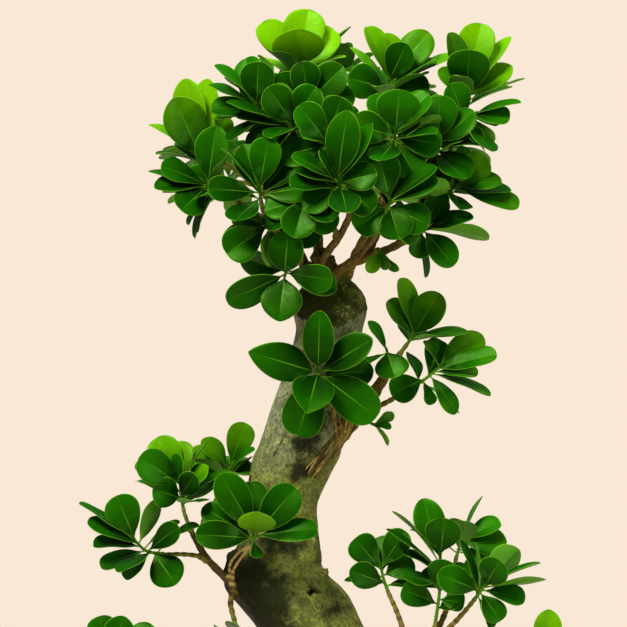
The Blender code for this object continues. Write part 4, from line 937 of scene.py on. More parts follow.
def make_shoots(looks):
    """Each shoot's leaves and green stem, as one piece with two looks."""
    for order, (name, leaves) in enumerate(grow_leaves().items()):
        random = np.random.default_rng(LEAF_SEED + order)
        shape = Shape()
        for index, leaf in enumerate(leaves):
            age = index / max(len(leaves) - 1, 1)
            # Painted shade: a leaf that points to the front is darkened by the factor below.
            front_shade = FORWARD_SHADE + (1 - FORWARD_SHADE) * smoothstep(-0.5, 0.0, leaf.along.y)
            young = YOUNG_AND_LIT.get(name, YOUNG_AND_LIT_ELSEWHERE) * (YOUNG_FIRST - YOUNG_FALL * age) * front_shade
            young = BRIGHTER.get((name, index), young + random.normal(0, YOUNG_SPREAD))
            fine_leaf(shape, leaf, young, name in POINTED, index in POINTED.get(name, ()), random)
        fine_stem(shape, name, random)
        piece(f"leaves_{name[6:]}", shape.mesh(name), [looks["leaf"], looks["stem"]], "leaf", name)


# ---------------------------------------------------------------- materials


class Look:
    """A procedural material round one Principled shader. Its helpers take sockets or plain values."""

    def __init__(self, name, constants):
        self.material = bpy.data.materials.new(name)
        self.material.use_nodes = True
        self.tree = self.material.node_tree
        self.shader = self.tree.nodes["Principled BSDF"]
        self.place = self.add("ShaderNodeTexCoord", {}, "Object")
        for socket, value in constants.items():
            self.shader.inputs[socket].default_value = value

    def feed(self, socket, value):
        if isinstance(value, bpy.types.NodeSocket):
            self.tree.links.new(value, socket)
        else:
            socket.default_value = value

    def add(self, kind, inputs, output=0, **settings):
        made = self.tree.nodes.new(kind)
        for name, value in settings.items():
            setattr(made, name, value)
        for key, value in inputs.items():
            self.feed(made.inputs[key], value)
        return made.outputs[output]

    def mark(self, name, output="Fac"):
        return self.add("ShaderNodeAttribute", {}, output, attribute_name=name)

    def math(self, operation, first, second=0.0):
        return self.add("ShaderNodeMath", {0: first, 1: second}, operation=operation)

    def plus(self, first, second):
        return self.math("ADD", first, second)

    def times(self, first, second):
        return self.math("MULTIPLY", first, second)

    def swing(self, value, amount):
        """How far a noise is from its middle, times an amount."""
        return self.times(self.math("SUBTRACT", value, 0.5), amount)

    def reach(self, value, low, high, start=0.0, end=1.0):
        """`start` below low, `end` above high and a soft step between."""
        inputs = {"Value": value, "From Min": low, "From Max": high, "To Min": start, "To Max": end}
        return self.add("ShaderNodeMapRange", inputs, "Result", interpolation_type="SMOOTHSTEP")

    def noise(self, size, detail=3.0, roughness=0.55, place=None, stretch=(1, 1, 1)):
        """Noise of 0 to 1 whose lumps are `size` millimetres across, times the stretch on each axis."""
        inputs = {"Vector": place or self.place, "Scale": tuple(1 / s for s in stretch)}
        spread = self.add("ShaderNodeMapping", inputs, vector_type="POINT")
        inputs = {"Vector": spread, "Scale": 1 / (size * MM), "Detail": detail, "Roughness": roughness}
        return self.add("ShaderNodeTexNoise", inputs, "Fac")

    def mix(self, factor, first, second, blend="MIX"):
        inputs = {0: factor, 6: first, 7: second}
        return self.add("ShaderNodeMix", inputs, 2, data_type="RGBA", blend_type=blend)

    def shaded(self, colour, value, low, high, start, end):
        """A colour times a number that goes from `start` to `end` while the value goes from low to high."""
        factor = self.reach(value, low, high, start, end)
        grey = self.add("ShaderNodeCombineColor", {"Red": factor, "Green": factor, "Blue": factor})
        return self.mix(1.0, colour, grey, "MULTIPLY")

    def finish(self, colour, roughness, *bumps):
        """The material, with bumps of (height, depth in millimetres), each on top of the last."""
        normal = None
        for height, depth in bumps:
            inputs = {"Height": height, "Distance": depth * MM, "Strength": 1.0}
            if normal:
                inputs["Normal"] = normal
            normal = self.add("ShaderNodeBump", inputs)
        for name, value in (("Base Color", colour), ("Roughness", roughness), ("Normal", normal)):
            self.feed(self.shader.inputs[name], value)
        return self.material


def leaf_look():
    """Dark to bright green by age and by painted light, darker towards each blade's base with painted shade,
    with a painted sheen near the base, and with a pale midrib, margin and underside.
    """
    look = Look("leaf_surface", {
        "Coat Weight": 0.03, "Coat Roughness": 0.3, "Specular IOR Level": 0.26,
        "Specular Tint": srgb(130, 235, 10),
    })
    across, along = look.math("ABSOLUTE", look.mark("across")), look.mark("along")
    under, patches = look.mark("under"), look.noise(16, 2)
    # The mark read here holds a leaf's youth and its painted light together, and both brighten it the same
    # way.
    age = look.plus(look.mark("young"), look.swing(patches, 0.35))
    # With the shading by along further down, each blade is painted brighter towards its tip and darker
    # towards its base: painted shade where the leaves crowd round the stem.
    age = look.plus(age, look.reach(along, 0.2, 1.0, -0.1, 0.12))
    body = look.mix(look.reach(age, -0.05, 0.5), srgb(4, 44, 0), srgb(20, 78, 0))
    body = look.mix(look.reach(age, 0.4, 1.0), body, srgb(80, 130, 0))
    body = look.shaded(body, look.mark("tint"), 0, 1, 0.86, 1.28)
    body = look.shaded(body, along, 0.1, 0.8, 0.45, 1.1)
    # Whitish green patches towards each blade's base: a painted sheen.
    painted_sheen = look.reach(look.noise(22, 2), 0.52, 0.72)
    painted_sheen = look.times(painted_sheen, look.reach(along, 0.25, 0.6, 0.4, 0.0))
    body = look.mix(painted_sheen, body, srgb(60, 118, 40))
    veins = look.math("SUBTRACT", look.times(along, 66), look.times(across, 11))
    veins = look.math("SINE", veins)
    body = look.shaded(body, veins, 0.5, 1.0, 1.0, 1.05)
    body = look.mix(under, body, look.mix(patches, srgb(52, 112, 14), srgb(98, 154, 48)))
    rib = look.reach(across, 0.012, 0.05, 1.0, 0.0)
    rib = look.times(rib, look.reach(along, 0.3, 1.0, 0.62, 0.08))
    body = look.mix(rib, body, srgb(80, 140, 16))
    body = look.mix(look.reach(look.mark("rim"), 0.25, 0.75, 0.7, 0.0), body, srgb(100, 150, 22))
    gloss = look.reach(look.noise(5, 3), 0.3, 0.7, 0.36, 0.48)
    gloss = look.plus(gloss, look.times(under, 0.25))
    return look.finish(body, gloss, (look.noise(1.6, 3), 0.08), (look.reach(veins, 0.4, 1.0), 0.02))


def stem_look():
    """Green, tanned towards its foot, with a yellower bud."""
    look = Look("stem_skin", {"Specular IOR Level": 0.4})
    along = look.mark("along")
    body = look.mix(look.noise(4, 3), srgb(70, 128, 22), srgb(134, 172, 52))
    tan = look.times(look.reach(look.noise(3, 4), 0.48, 0.62), look.reach(along, 0.1, 0.9, 0.85, 0.15))
    body = look.mix(tan, body, srgb(150, 120, 58))
    body = look.mix(look.reach(along, 0.86, 0.97), body, srgb(150, 178, 60))
    return look.finish(body, 0.42, (look.noise(1.2, 4), 0.15))


def trunk_look():
    """Mottled grey-green bark, mossier below, with dark patches that are partly stains and partly painted
    shade, a yellower zone that is partly painted light, painted shade in the scar's hollow, and a darker
    dome.
    """
    look = Look("trunk_skin", {"Specular IOR Level": 0.12})
    straight = look.mark("straight", "Vector")
    clouds, blotches = look.noise(30, 3), look.noise(8, 4, 0.6)
    grain = look.noise(1.0, 4, 0.65, straight, (1, 1, 2.4))
    mottle = look.noise(2.6, 5, 0.74, straight, (1, 1, 1.15))
    upper = look.mix(blotches, srgb(108, 114, 76), srgb(158, 162, 124))
    lower = look.mix(blotches, srgb(64, 72, 18), srgb(134, 140, 68))
    height = look.plus(look.mark("height"), look.times(clouds, 70))
    body = look.mix(look.reach(height, 420, 490), lower, upper)
    moss = look.reach(look.noise(15, 4, 0.6), 0.48, 0.66, 0.0, 0.55)
    # Moss, and the yellower zone beside the graft, which is partly painted light.
    body = look.mix(look.math("MAXIMUM", moss, look.mark("olive_and_lit")), body, srgb(126, 132, 40))
    body = look.shaded(body, mottle, 0.36, 0.64, 0.45, 1.3)
    body = look.shaded(body, look.noise(17, 4, 0.65), 0.36, 0.62, 0.72, 1.14)
    body = look.shaded(body, grain, 0.34, 0.62, 0.64, 1.12)
    # Dark patches from the stain mark, loosened by noise: real stains and painted shade together.
    shade = look.plus(look.swing(mottle, 1.6), look.swing(look.noise(13, 5, 0.68), 2.4))
    shade = look.reach(look.plus(shade, look.mark("stain_and_shade")), 0.15, 0.85, 0.0, 0.95)
    body = look.mix(shade, body, srgb(20, 23, 2))
    specks = look.reach(look.noise(2.6, 4, 0.7), 0.53, 0.64)
    patch = look.times(look.reach(look.noise(13, 2), 0.36, 0.6), look.mark("lit"))
    callus = look.mix(look.noise(7, 3), srgb(24, 24, 2), srgb(56, 56, 12))
    callus = look.mix(look.times(patch, 0.5), callus, srgb(84, 92, 30))
    callus = look.mix(look.times(specks, patch), callus, srgb(156, 160, 96))
    body = look.mix(look.mark("dome"), body, callus)
    # The scar's hollow is painted near black: painted shade.
    body = look.mix(look.mark("hole"), body, srgb(14, 12, 2))
    gloss = look.reach(blotches, 0.3, 0.7, 0.62, 0.8)
    return look.finish(body, gloss, (grain, 0.35), (mottle, 0.5), (look.noise(3.5, 4, 0.6), 0.6))


def branch_look():
    """Brown bark with a fine grain and rings, green where it is thin."""
    look = Look("branch_skin", {"Specular IOR Level": 0.15})
    straight = look.mark("straight", "Vector")
    blotches = look.noise(5, 4, 0.6)
    grain = look.noise(1.0, 4, 0.65, straight, (1, 1, 5))
    rings = look.noise(1.6, 3, 0.6, straight, (4, 4, 1))
    body = look.mix(blotches, srgb(60, 47, 14), srgb(142, 113, 50))
    body = look.mix(look.reach(look.noise(12, 3), 0.48, 0.66, 0.0, 0.7), body, srgb(96, 92, 32))
    body = look.shaded(body, grain, 0.36, 0.62, 0.55, 1.2)
    body = look.shaded(body, rings, 0.36, 0.5, 0.7, 1.0)
    body = look.mix(look.reach(look.noise(2.2, 3, 0.6), 0.62, 0.7, 0.0, 0.7), body, srgb(188, 152, 88))
    body = look.mix(look.mark("pale"), body, srgb(186, 158, 96))
    body = look.mix(look.mark("green"), body, srgb(112, 128, 40))
    body = look.mix(look.mark("dark"), body, srgb(44, 36, 8))
    return look.finish(body, look.reach(blotches, 0.3, 0.7, 0.6, 0.82), (grain, 0.3), (rings, 0.35))


def strand_look():
    """Torn wood, paler where it is dry and on each strand's left side, where the paleness is a painted
    highlight.
    """
    look = Look("strand_wood", {"Specular IOR Level": 0.2})
    grain = look.noise(1.4, 4, 0.65)
    body = look.mix(look.mark("dry"), srgb(58, 45, 10), srgb(172, 145, 70))
    return look.finish(look.shaded(body, grain, 0.36, 0.64, 0.45, 1.3), 0.65, (grain, 0.4))


def soil_look():
    """Brown grains, a few of them pale stone."""
    look = Look("soil_grains", {"Specular IOR Level": 0.25})
    body = look.mix(look.mark("tint"), srgb(58, 40, 26), srgb(128, 96, 66))
    body = look.mix(look.reach(look.mark("tint"), 0.86, 0.9), body, srgb(168, 158, 142))
    body = look.shaded(body, look.noise(1.2, 4), 0.3, 0.7, 0.7, 1.2)
    return look.finish(body, 0.92, (look.noise(0.9, 4), 0.35))


def glaze_look():
    """Blue-grey glaze with dark and pale specks, thin on the rim's edges and bare inside and below."""
    look = Look("pot_stoneware", {"Coat Weight": 0.25, "Coat Roughness": 0.18})
    runs = look.noise(16, 4, 0.6, stretch=(1, 1, 2.2))
    clay = look.mix(look.noise(2.4, 4), srgb(136, 104, 78), srgb(166, 132, 100))
    body = look.mix(runs, srgb(58, 68, 76), srgb(84, 95, 102))
    body = look.mix(look.reach(look.noise(1.5, 3, 0.6), 0.62, 0.7, 0.0, 0.6), body, srgb(36, 38, 40))
    body = look.mix(look.reach(look.noise(3.4, 2, 0.5), 0.67, 0.74, 0.0, 0.5), body, srgb(140, 132, 112))
    body = look.mix(look.mark("thin"), body, srgb(132, 104, 74))
    body = look.mix(look.mark("bare"), body, clay)
    gloss = look.plus(look.reach(runs, 0.3, 0.7, 0.26, 0.4), look.times(look.mark("bare"), 0.4))
    return look.finish(body, gloss, (look.noise(7, 3), 0.5), (look.noise(1.0, 3), 0.1))


def screen_look():
    """Dark moulded plastic."""
    look = Look("screen_moulding", {"Specular IOR Level": 0.45})
    body = look.mix(look.noise(6, 3), srgb(22, 24, 24), srgb(42, 44, 44))
    gloss = look.reach(look.noise(2, 3), 0.3, 0.7, 0.45, 0.62)
    return look.finish(body, gloss, (look.noise(0.8, 3), 0.06))


# ---------------------------------------------------------------- wood

SKIN_SIDES = 24
TRUNK_VOXEL, TRUNK_SMOOTHING = 1.6, 20
BRANCH_VOXEL, BRANCH_SMOOTHING = 0.8, 2
TRUNK_DEPTH = 22  # how far below the soil's edge the trunk starts
DOME_STEPS = 18
DOME_CLOSED = 0.999  # a little under 1, so that the last ring keeps a width
ROOT_STEP = 3.0
LEAN_WIDER = 0.6  # how much a level ring is widened where the trunk leans
BORDER_HEIGHT = 530.0  # where the callus dome begins
BORDER_RISE = 15.0  # how far that border rises towards the trunk's sides
FLUTES = ((46, 2.4, 1), (15, 0.9, 2), (5, 0.35, 3))  # lump size, depth, octaves
# Dark zones of the bark as seen from the front, partly real stains and partly painted shade and shadow below
# the leaves and the graft: x, z, half width, half height, strength.
STAINS_AND_SHADE = (
    (-74, 284, 66, 72, 1.5), (-28, 248, 44, 36, 1.1), (-34, 337, 42, 16, 0.7), (14, 281, 16, 11, 0.8),
    (-17, 403, 17, 12, 1.0), (-12, 426, 24, 34, 0.8), (6, 456, 18, 34, 0.8), (34, 436, 10, 18, 0.9),
    (10, 502, 15, 15, 0.45), (-44, 390, 10, 24, 0.35),
)
ZONE_FADE = 1.25  # a zone ends at this many times its half width or height
ZONE_BACK = 24  # and at this y
OLIVE_AND_LIT = (22, 415, 22, 34)  # a zone of yellower bark, partly painted light where the bark beside the graft strands is lit: x, z, half width, half height
SCAR = (-5.0, 299.0, 5.2, 6.5)  # x, z, radius, depth
SCAR_REACH = 20  # depth of trunk behind the scar's middle that it may mark
LIP_WIDTH, LIP_HEIGHT = 2.2, 0.9  # of the rim round the scar
FAR = 300.0  # further out than any of the tree
KNOB_DEPTH = -12.0  # y of the knobs on the trunk's outline
KNOBS = (  # x, z, height
    (15, 312, 5.0), (-80, 327, 6.0), (-79, 311, 5.0), (-83, 319, 4.0), (30, 470, 3.0), (4, 341, 2.6)
)
CREASE = ((-29, 434), (-34, 425), (-39, 416))  # x, z along a groove
CREASE_WIDTH = 0.9  # and its depth


def straightened(points, lines):
    """Each point unrolled from the nearest of the lines: across, across and along, in metres."""
    path = np.concatenate([line for line, _ in lines])
    run = np.concatenate([places for _, places in lines])
    across, other = (np.concatenate(sides) for sides in zip(*[frames_along(line) for line, _ in lines]))
    near, _ = nearest(points, path)
    off = points - path[near]
    spread = [(off * across[near]).sum(axis=1), (off * other[near]).sum(axis=1)]
    forward = (off * np.cross(across[near], other[near])).sum(axis=1)
    return np.stack([*spread, run[near] + forward], axis=1) * MM


def ball(radius, subdivisions):
    """Points and faces of a ball round the origin."""
    work = bmesh.new()
    bmesh.ops.create_icosphere(work, subdivisions=subdivisions, radius=radius)
    made = np.array([v.co for v in work.verts]), [[v.index for v in face.verts] for face in work.faces]
    work.free()
    return made


def front_point(tree, x, z):
    """Where a straight line from the front first meets a surface, or None."""
    return tree.ray_cast(Vector((x, -FAR, z)), Vector((0, 1, 0)))[0]


def side_point(tree, x, z):
    """Where a straight line along X first meets a surface, from the side that x is nearer to."""
    side = FAR if x > 0 else -FAR
    return np.array(tree.ray_cast(Vector((side, KNOB_DEPTH, z)), Vector((-side, 0, 0)).normalized())[0])


def level_tube(path, radii, sides):
    """Level rings round a rising path, which don't fold into each other on the inside of a bend."""
    tangents = np.gradient(path, axis=0)
    lean = tangents[:, 2] / np.linalg.norm(tangents, axis=1)
    turns = np.arange(sides) * math.tau / sides
    wide = np.outer(radii * np.clip(lean, 0.5, 1.0) ** -LEAN_WIDER, np.cos(turns))
    deep = np.outer(radii, np.sin(turns))
    points = path[:, None] + np.stack([wide, deep, np.zeros_like(wide)], axis=2)
    return points.reshape(-1, 3), tube_faces(len(path), sides)


def trunk_line():
    """The trunk's centre line from just under the soil to the top of the dome: x, y, z, radius."""
    line = np.array(smooth_path([Vector(p) for p in TRUNK], 16))
    line = line[line[:, 2] > SOIL_EDGE - TRUNK_DEPTH]
    rises = np.sin(np.linspace(0, 1, DOME_STEPS)[1:] * math.pi / 2)
    radii = [DOME_RADIUS * math.sqrt(1 - rise * rise * DOME_CLOSED) for rise in rises]
    cap = [[*line[-1, :3] + (0, 0, DOME_RADIUS * rise), radius] for rise, radius in zip(rises, radii)]
    return np.concatenate([line, np.array(cap)])


def scar_marks(points, centre, radius):
    """A ragged hole and the lip round it, each from 0 to 1, on the tree's front."""
    off = points - centre
    angle, away = np.arctan2(off[:, 2], off[:, 0]), np.hypot(off[:, 0], off[:, 2])
    reach = radius * (1 + 0.35 * np.cos(3 * angle + 0.6) + 0.25 * np.cos(5 * angle + 2.0))
    front = off[:, 1] < SCAR_REACH
    hole = (1 - smoothstep(0.45, 1.0, away / reach)) * front
    return hole, np.exp(-(((away - reach * 1.15) / LIP_WIDTH) ** 2)) * front


def make_trunk(looks):
    """Trunk, dome and surface roots in one skin, with flutes, knobs, a scar and a groove moved into it."""
    line = trunk_line()
    shape = Shape()
    shape.add(*level_tube(line[:, :3], line[:, 3], 2 * SKIN_SIDES))
    for index in range(ROOT_COUNT):
        root, size = root_path(index)
        path, _ = resampled(root, ROOT_STEP)
        shape.add(*tube_shape(path, np.linspace(size, size * (1 - ROOT_TAPER), len(path)), SKIN_SIDES))
    mesh = remeshed("trunk", shape, TRUNK_VOXEL, TRUNK_SMOOTHING)
    points, normals = mesh_points(mesh), mesh_normals(mesh)
    tree = BVHTree.FromPolygons(points.tolist(), [face.vertices[:] for face in mesh.polygons])
    places = np.concatenate([[0], np.cumsum(np.linalg.norm(np.diff(line[:, :3], axis=0), axis=1))])
    straight = straightened(points, [(line[:, :3], places)])
    unrolled = straight / MM * (1, 1, 0.4)
    depth = sum(rough(unrolled, size, octaves) * deep for size, deep, octaves in FLUTES)
    ragged = rough(points, 9, 3, 5.0)
    border = BORDER_HEIGHT + BORDER_RISE * ((points[:, 0] - line[-1, 0]) / DOME_RADIUS) ** 2
    dome = smoothstep(-1.0, 1.0, points[:, 2] - border - 4 * ragged)
    depth += dome * (1.0 + 0.4 * rough(points, 7, 3, 9.0)) + 0.2
    for x, z, radius in KNOBS:
        gap = np.linalg.norm(points - side_point(tree, x, z), axis=1)
        depth += radius * np.exp(-((gap / radius) ** 2)) * (1 + 0.4 * rough(points, 3, 3, x))
    x, z, radius, deep = SCAR
    hole, lip = scar_marks(points, front_point(tree, x, z), radius)
    depth += lip * LIP_HEIGHT - hole * deep
    path, _ = resampled([(cx, front_point(tree, cx, cz)[1], cz) for cx, cz in CREASE], 0.5)
    _, gap = nearest(points, path)
    crease = np.exp(-((gap / CREASE_WIDTH) ** 2))
    depth -= crease * CREASE_WIDTH
    move_points(mesh, points + normals * depth[:, None])
    # The groove and the dark zones are painted dark: painted shade in the groove, and in the zones real
    # stains together with painted shade.
    stain_and_shade = crease * 0.8
    for *zone, strength in STAINS_AND_SHADE:
        stain_and_shade = np.maximum(stain_and_shade, strength * in_zone(points, *zone))
    mark(mesh, "straight", straight)
    mark(mesh, "height", points[:, 2])
    mark(mesh, "dome", dome)
    mark(mesh, "lit", smoothstep(2, 30, points[:, 0] + 6 * ragged))
    mark(mesh, "stain_and_shade", stain_and_shade)
    mark(mesh, "olive_and_lit", in_zone(points, *OLIVE_AND_LIT) * 0.8)
    mark(mesh, "hole", hole)
    piece("trunk_and_roots", mesh, [looks["trunk"]], "trunk_bark", "trunk")


def in_zone(points, x, z, half_wide, half_high):
    """1 in the middle of an oval zone of the tree's front, 0 outside it and round the back."""
    gap = np.hypot((points[:, 0] - x) / half_wide, (points[:, 2] - z) / half_high)
    return (1 - smoothstep(0.0, ZONE_FADE, gap)) * (1 - smoothstep(0, ZONE_BACK, points[:, 1]))


# Torn strands of the graft: x and z of the lower end, x and z of the upper end, radius.
STRANDS = (
    (-9, 401, 21, 443, 1.4), (-4, 398, 25, 439, 1.3), (2, 407, 27, 437, 0.9), (7, 413, 29, 441, 1.0),
    (18, 430, 12, 466, 1.8), (21, 434, 19, 464, 1.5), (24, 436, 28, 468, 1.5), (15, 422, 31, 446, 1.3),
    (18, 424, 33, 446, 1.9), (20, 426, 38, 450, 1.7), (11, 431, 22, 447, 0.9), (24, 433, 44, 462, 1.6),
)
FIBRES = 2  # thin fibres beside each strand
FIBRE_SHARE = (0.25, 0.5)  # least and most radius of a fibre, as a share of its strand's
STRAND_SPREAD, FIBRE_SPREAD = 0.4, 1.8  # how far an end strays
STRAND_POINTS, STRAND_STEP, STRAND_SIDES = 7, 0.9, 12
STRAND_TIP = 0.2  # least radius
OUTLINE_DEPTH = -9.0  # y of a strand where it leaves the trunk's outline


def make_strands(looks):
    """The torn strands of the graft, which lie on the trunk below the branch and join it."""
    random = np.random.default_rng(5)
    line, limb = smooth_path([Vector(p) for p in TRUNK], 4), limb_path("branch_right_mid")
    base = Shape()
    base.add(*tube_polygons([p.xyz for p in line], [p.w for p in line], 24))
    wide, thin = limb_radius("branch_right_mid", 0), limb_radius("branch_right_mid", 1)
    base.add(*tube_polygons(limb, taper(wide, thin, len(limb)), 12))
    tree = BVHTree.FromPolygons(np.concatenate(base.points).tolist(), base.faces)
    shape = Shape()
    for *ends, thick in STRANDS:
        for fibre in range(FIBRES + 1):
            spread = FIBRE_SPREAD if fibre else STRAND_SPREAD
            low = np.array(ends[:2]) + random.normal(0, spread, 2)
            high = np.array(ends[2:]) + random.normal(0, spread, 2)
            size = thick * random.uniform(*FIBRE_SHARE) if fibre else thick
            path = []
            for step in np.linspace(0, 1, STRAND_POINTS):
                x, z = low * (1 - step) + high * step
                hit = front_point(tree, x, z)
                y = hit.y if hit else OUTLINE_DEPTH
                proud = size * 0.7 * math.sin(math.pi * (0.15 + 0.7 * step))
                path.append((x + random.normal(0, 0.6), y - proud, z))
            line, _ = resampled(path, STRAND_STEP)
            radii = STRAND_TIP + size * np.sin(np.linspace(0.06, 0.9, len(line)) * math.pi) ** 0.6
            points, faces = tube_shape(line, radii, STRAND_SIDES)
            points += rough(points * (1, 1, 0.4), 2.2, 3, size * 9)[:, None] * (0.45, 0.45, 0.1)
            middle, wide = np.repeat(line[:, 0], STRAND_SIDES), np.repeat(radii, STRAND_SIDES)
            tilt = (points[:, 0] - middle) / wide
            # Each strand is painted paler on its left side, a painted highlight, and by a random amount for
            # dry wood.
            shape.add(points, faces, dry=np.clip(0.35 - 0.7 * tilt + random.uniform(-0.2, 0.4), 0, 1))
    piece("graft_strands", shape.mesh("graft_strands"), [looks["strand"]], "branch_bark", "branch_right_mid")


TWIN_TWIG = "shoot_left_front_low"  # two thin twigs side by side carry this shoot
TWIN_BOW = (-4.5, 0.0, 2.5)  # how far the second bows away from the first
TWIN_SHARE = 0.55  # radius of each, as a share of a single twig's
TWIN_PALE = 0.7  # how much paler their bark is
TWIG_SIDES = 16
TWIG_FOOT = 2.5  # how far a twig's skin runs on into its green stem
COLLAR, COLLAR_LENGTH = 0.7, 4.0  # how much a twig swells at its foot, and along how much of it
GREEN_RADII = (1.9, 2.5)  # thinner bark than this is green, thicker isn't
BURR_LIMB = "branch_crown_centre"
BURR = (  # x, y, z, radius
    (2, -20, 582, 8), (-8, -18, 580, 6.5), (10, -24, 586, 6), (-2, -26, 590, 5), (5, -14, 592, 6),
    (16, -18, 578, 6)
)
DARK_LIMBS = ("branch_left", "branch_lower_left")
DARK_ABOVE = 2.6  # radius: the twigs of a dark branch are thinner, and stay pale


def make_branch(name, looks):
    """A branch and its woody twigs in one skin, with collars, and on one of them a knotty burr."""
    limb = LIMBS[name]
    tubes = []  # path, distance along it, radius and paleness at each of its points

    def add_tube(path, run, radii, sides, swell=1, pale=0):
        shape.add(*tube_shape(path, radii * swell, sides))
        tubes.append((path, run, radii, radii * 0 + pale))

    shape = Shape()
    path, run = resampled(limb_path(name), 1.5)
    random = np.random.default_rng(len(name) + int(limb.start * 10))
    waves = 1 + 0.05 * np.sin(run * 0.55 + random.uniform(0, math.tau))
    add_tube(path, run, np.linspace(limb.start, limb.end, len(path)) * waves, SKIN_SIDES)
    for twig, shoot in SHOOTS.items():
        if shoot.limb != name:
            continue
        wood, green = shoot_path(shoot)
        path, run = resampled([*wood, wood[-1] + (green[0] - wood[-1]).normalized() * TWIG_FOOT], 1.2)
        waves = 1 + 0.09 * np.sin(run * 0.9 + random.uniform(0, 6))
        radii = np.linspace(*twig_radii(shoot), len(path)) * waves
        if twig == TWIN_TWIG:
            bow = np.sin(run / run[-1] * math.pi)[:, None] * TWIN_BOW
            for bent in (path + bow, path):
                add_tube(bent, run, radii, TWIG_SIDES, TWIN_SHARE, TWIN_PALE)
        else:
            collar = 1 + COLLAR * np.exp(-((run - limb_radius(name, shoot.at)) / COLLAR_LENGTH) ** 2)
            add_tube(path, run, radii, TWIG_SIDES, collar)
    if name == BURR_LIMB:
        for *place, radius in BURR:
            points, faces = ball(radius, 2)
            shape.add(points + place, faces)
    mesh = remeshed(name, shape, BRANCH_VOXEL, BRANCH_SMOOTHING)
    points, normals = mesh_points(mesh), mesh_normals(mesh)
    paths, _, radii, pale = (np.concatenate(values) for values in zip(*tubes))
    near, _ = nearest(points, paths)
    radius, pale = radii[near], pale[near]
    straight = straightened(points, [(path, run) for path, run, _, _ in tubes])
    unrolled = straight / MM * (1, 1, 0.5)
    depth = rough(unrolled, 5, 3) * 0.09 * np.minimum(radius, 6) + rough(points, 2.2, 2, 3.0) * 0.18
    burr = np.zeros(len(points))
    if name == BURR_LIMB:
        for *place, size in BURR:
            gap = np.linalg.norm(points - place, axis=1) / size
            burr = np.maximum(burr, 1 - smoothstep(1.0, 1.5, gap))
        depth += burr * rough(points, 4, 4, 7.0) * 2.4
    move_points(mesh, points + normals * depth[:, None])
    dark = np.maximum(burr * 0.7, 0.75 if name in DARK_LIMBS else 0.0) * (radius > DARK_ABOVE)
    mark(mesh, "straight", straight)
    mark(mesh, "pale", pale)
    mark(mesh, "green", (1 - smoothstep(*GREEN_RADII, radius)) * 0.6 * (pale == 0))
    mark(mesh, "dark", dark)
    piece(name + "_bark", mesh, [looks["bark"]], "branch_bark", name)


# ---------------------------------------------------------------- pot and soil

POT_STEPS = 160
ARC_STEPS = 6
POT_ROUNDING = (6, 3.5, 4, 4, 3, 2.5, 2)  # of the corners, from inside the floor round to under the foot
CUTTER_SIDES = 64
SHARP_ANGLE = 35  # degrees
THIN_GLAZE = 0.55  # how far the clay shows through on the rim's edges


def rounded(corners, radii):
    """A profile through corners of radius and height, each one rounded by an arc-like curve."""
    profile = [corners[0]]
    for (before, corner, after), radius in zip(zip(corners, corners[1:], corners[2:]), radii):
        before, corner, after = (np.array(p, float) for p in (before, corner, after))
        start = corner + (before - corner) / np.linalg.norm(before - corner) * radius
        end = corner + (after - corner) / np.linalg.norm(after - corner) * radius
        for t in np.linspace(0, 1, ARC_STEPS):
            profile.append(tuple(start * (1 - t) ** 2 + corner * 2 * t * (1 - t) + end * t**2))
    return [*profile, corners[-1]]


def oval(profile, steps):
    """Points and faces of an oval body turned from a closed profile that starts and ends on the axis."""
    profile = np.array(profile)
    turns = np.arange(steps) * math.tau / steps
    rings = profile[1:-1]
    points = np.stack([
        np.outer(rings[:, 0], np.cos(turns)),
        np.outer(rings[:, 0], np.sin(turns)) * POT_SQUEEZE,
        np.repeat(rings[:, 1:], steps, axis=1),
    ], axis=2).reshape(-1, 3)
    first, last = len(points), len(points) + 1
    points = np.concatenate([points, [[0, 0, profile[0, 1]], [0, 0, profile[-1, 1]]]])
    faces = []
    for turn in range(steps):
        after = (turn + 1) % steps
        faces.append([first, turn, after])
        for ring in range(len(rings) - 1):
            near, far = ring * steps, (ring + 1) * steps
            faces.append([near + turn, far + turn, far + after, near + after])
        faces.append([last, (len(rings) - 1) * steps + after, (len(rings) - 1) * steps + turn])
    return points, faces


def drilled(name, shape):
    """A mesh of the shape with the pot's two drain holes cut through it."""
    base = bpy.data.objects.new(name, shape.mesh(name))
    bpy.context.scene.collection.objects.link(base)
    helpers = [base]
    for side in (-1, 1):
        bpy.ops.mesh.primitive_cylinder_add(
            vertices=CUTTER_SIDES, radius=DRAIN_RADIUS * MM, depth=3 * POT_FLOOR * MM
        )
        cutter = bpy.context.object
        cutter.location.x = side * DRAIN_OFFSET * MM
        cutter.rotation_euler.z = math.pi / CUTTER_SIDES  # no corner may lie on an edge of the pot's mesh
        cut = base.modifiers.new("drain", "BOOLEAN")
        cut.operation = "DIFFERENCE"
        cut.object = cutter
        helpers.append(cutter)
    graph = bpy.context.evaluated_depsgraph_get()
    made = bpy.data.meshes.new_from_object(base.evaluated_get(graph))
    for helper in helpers:
        bpy.data.objects.remove(helper)
    return made


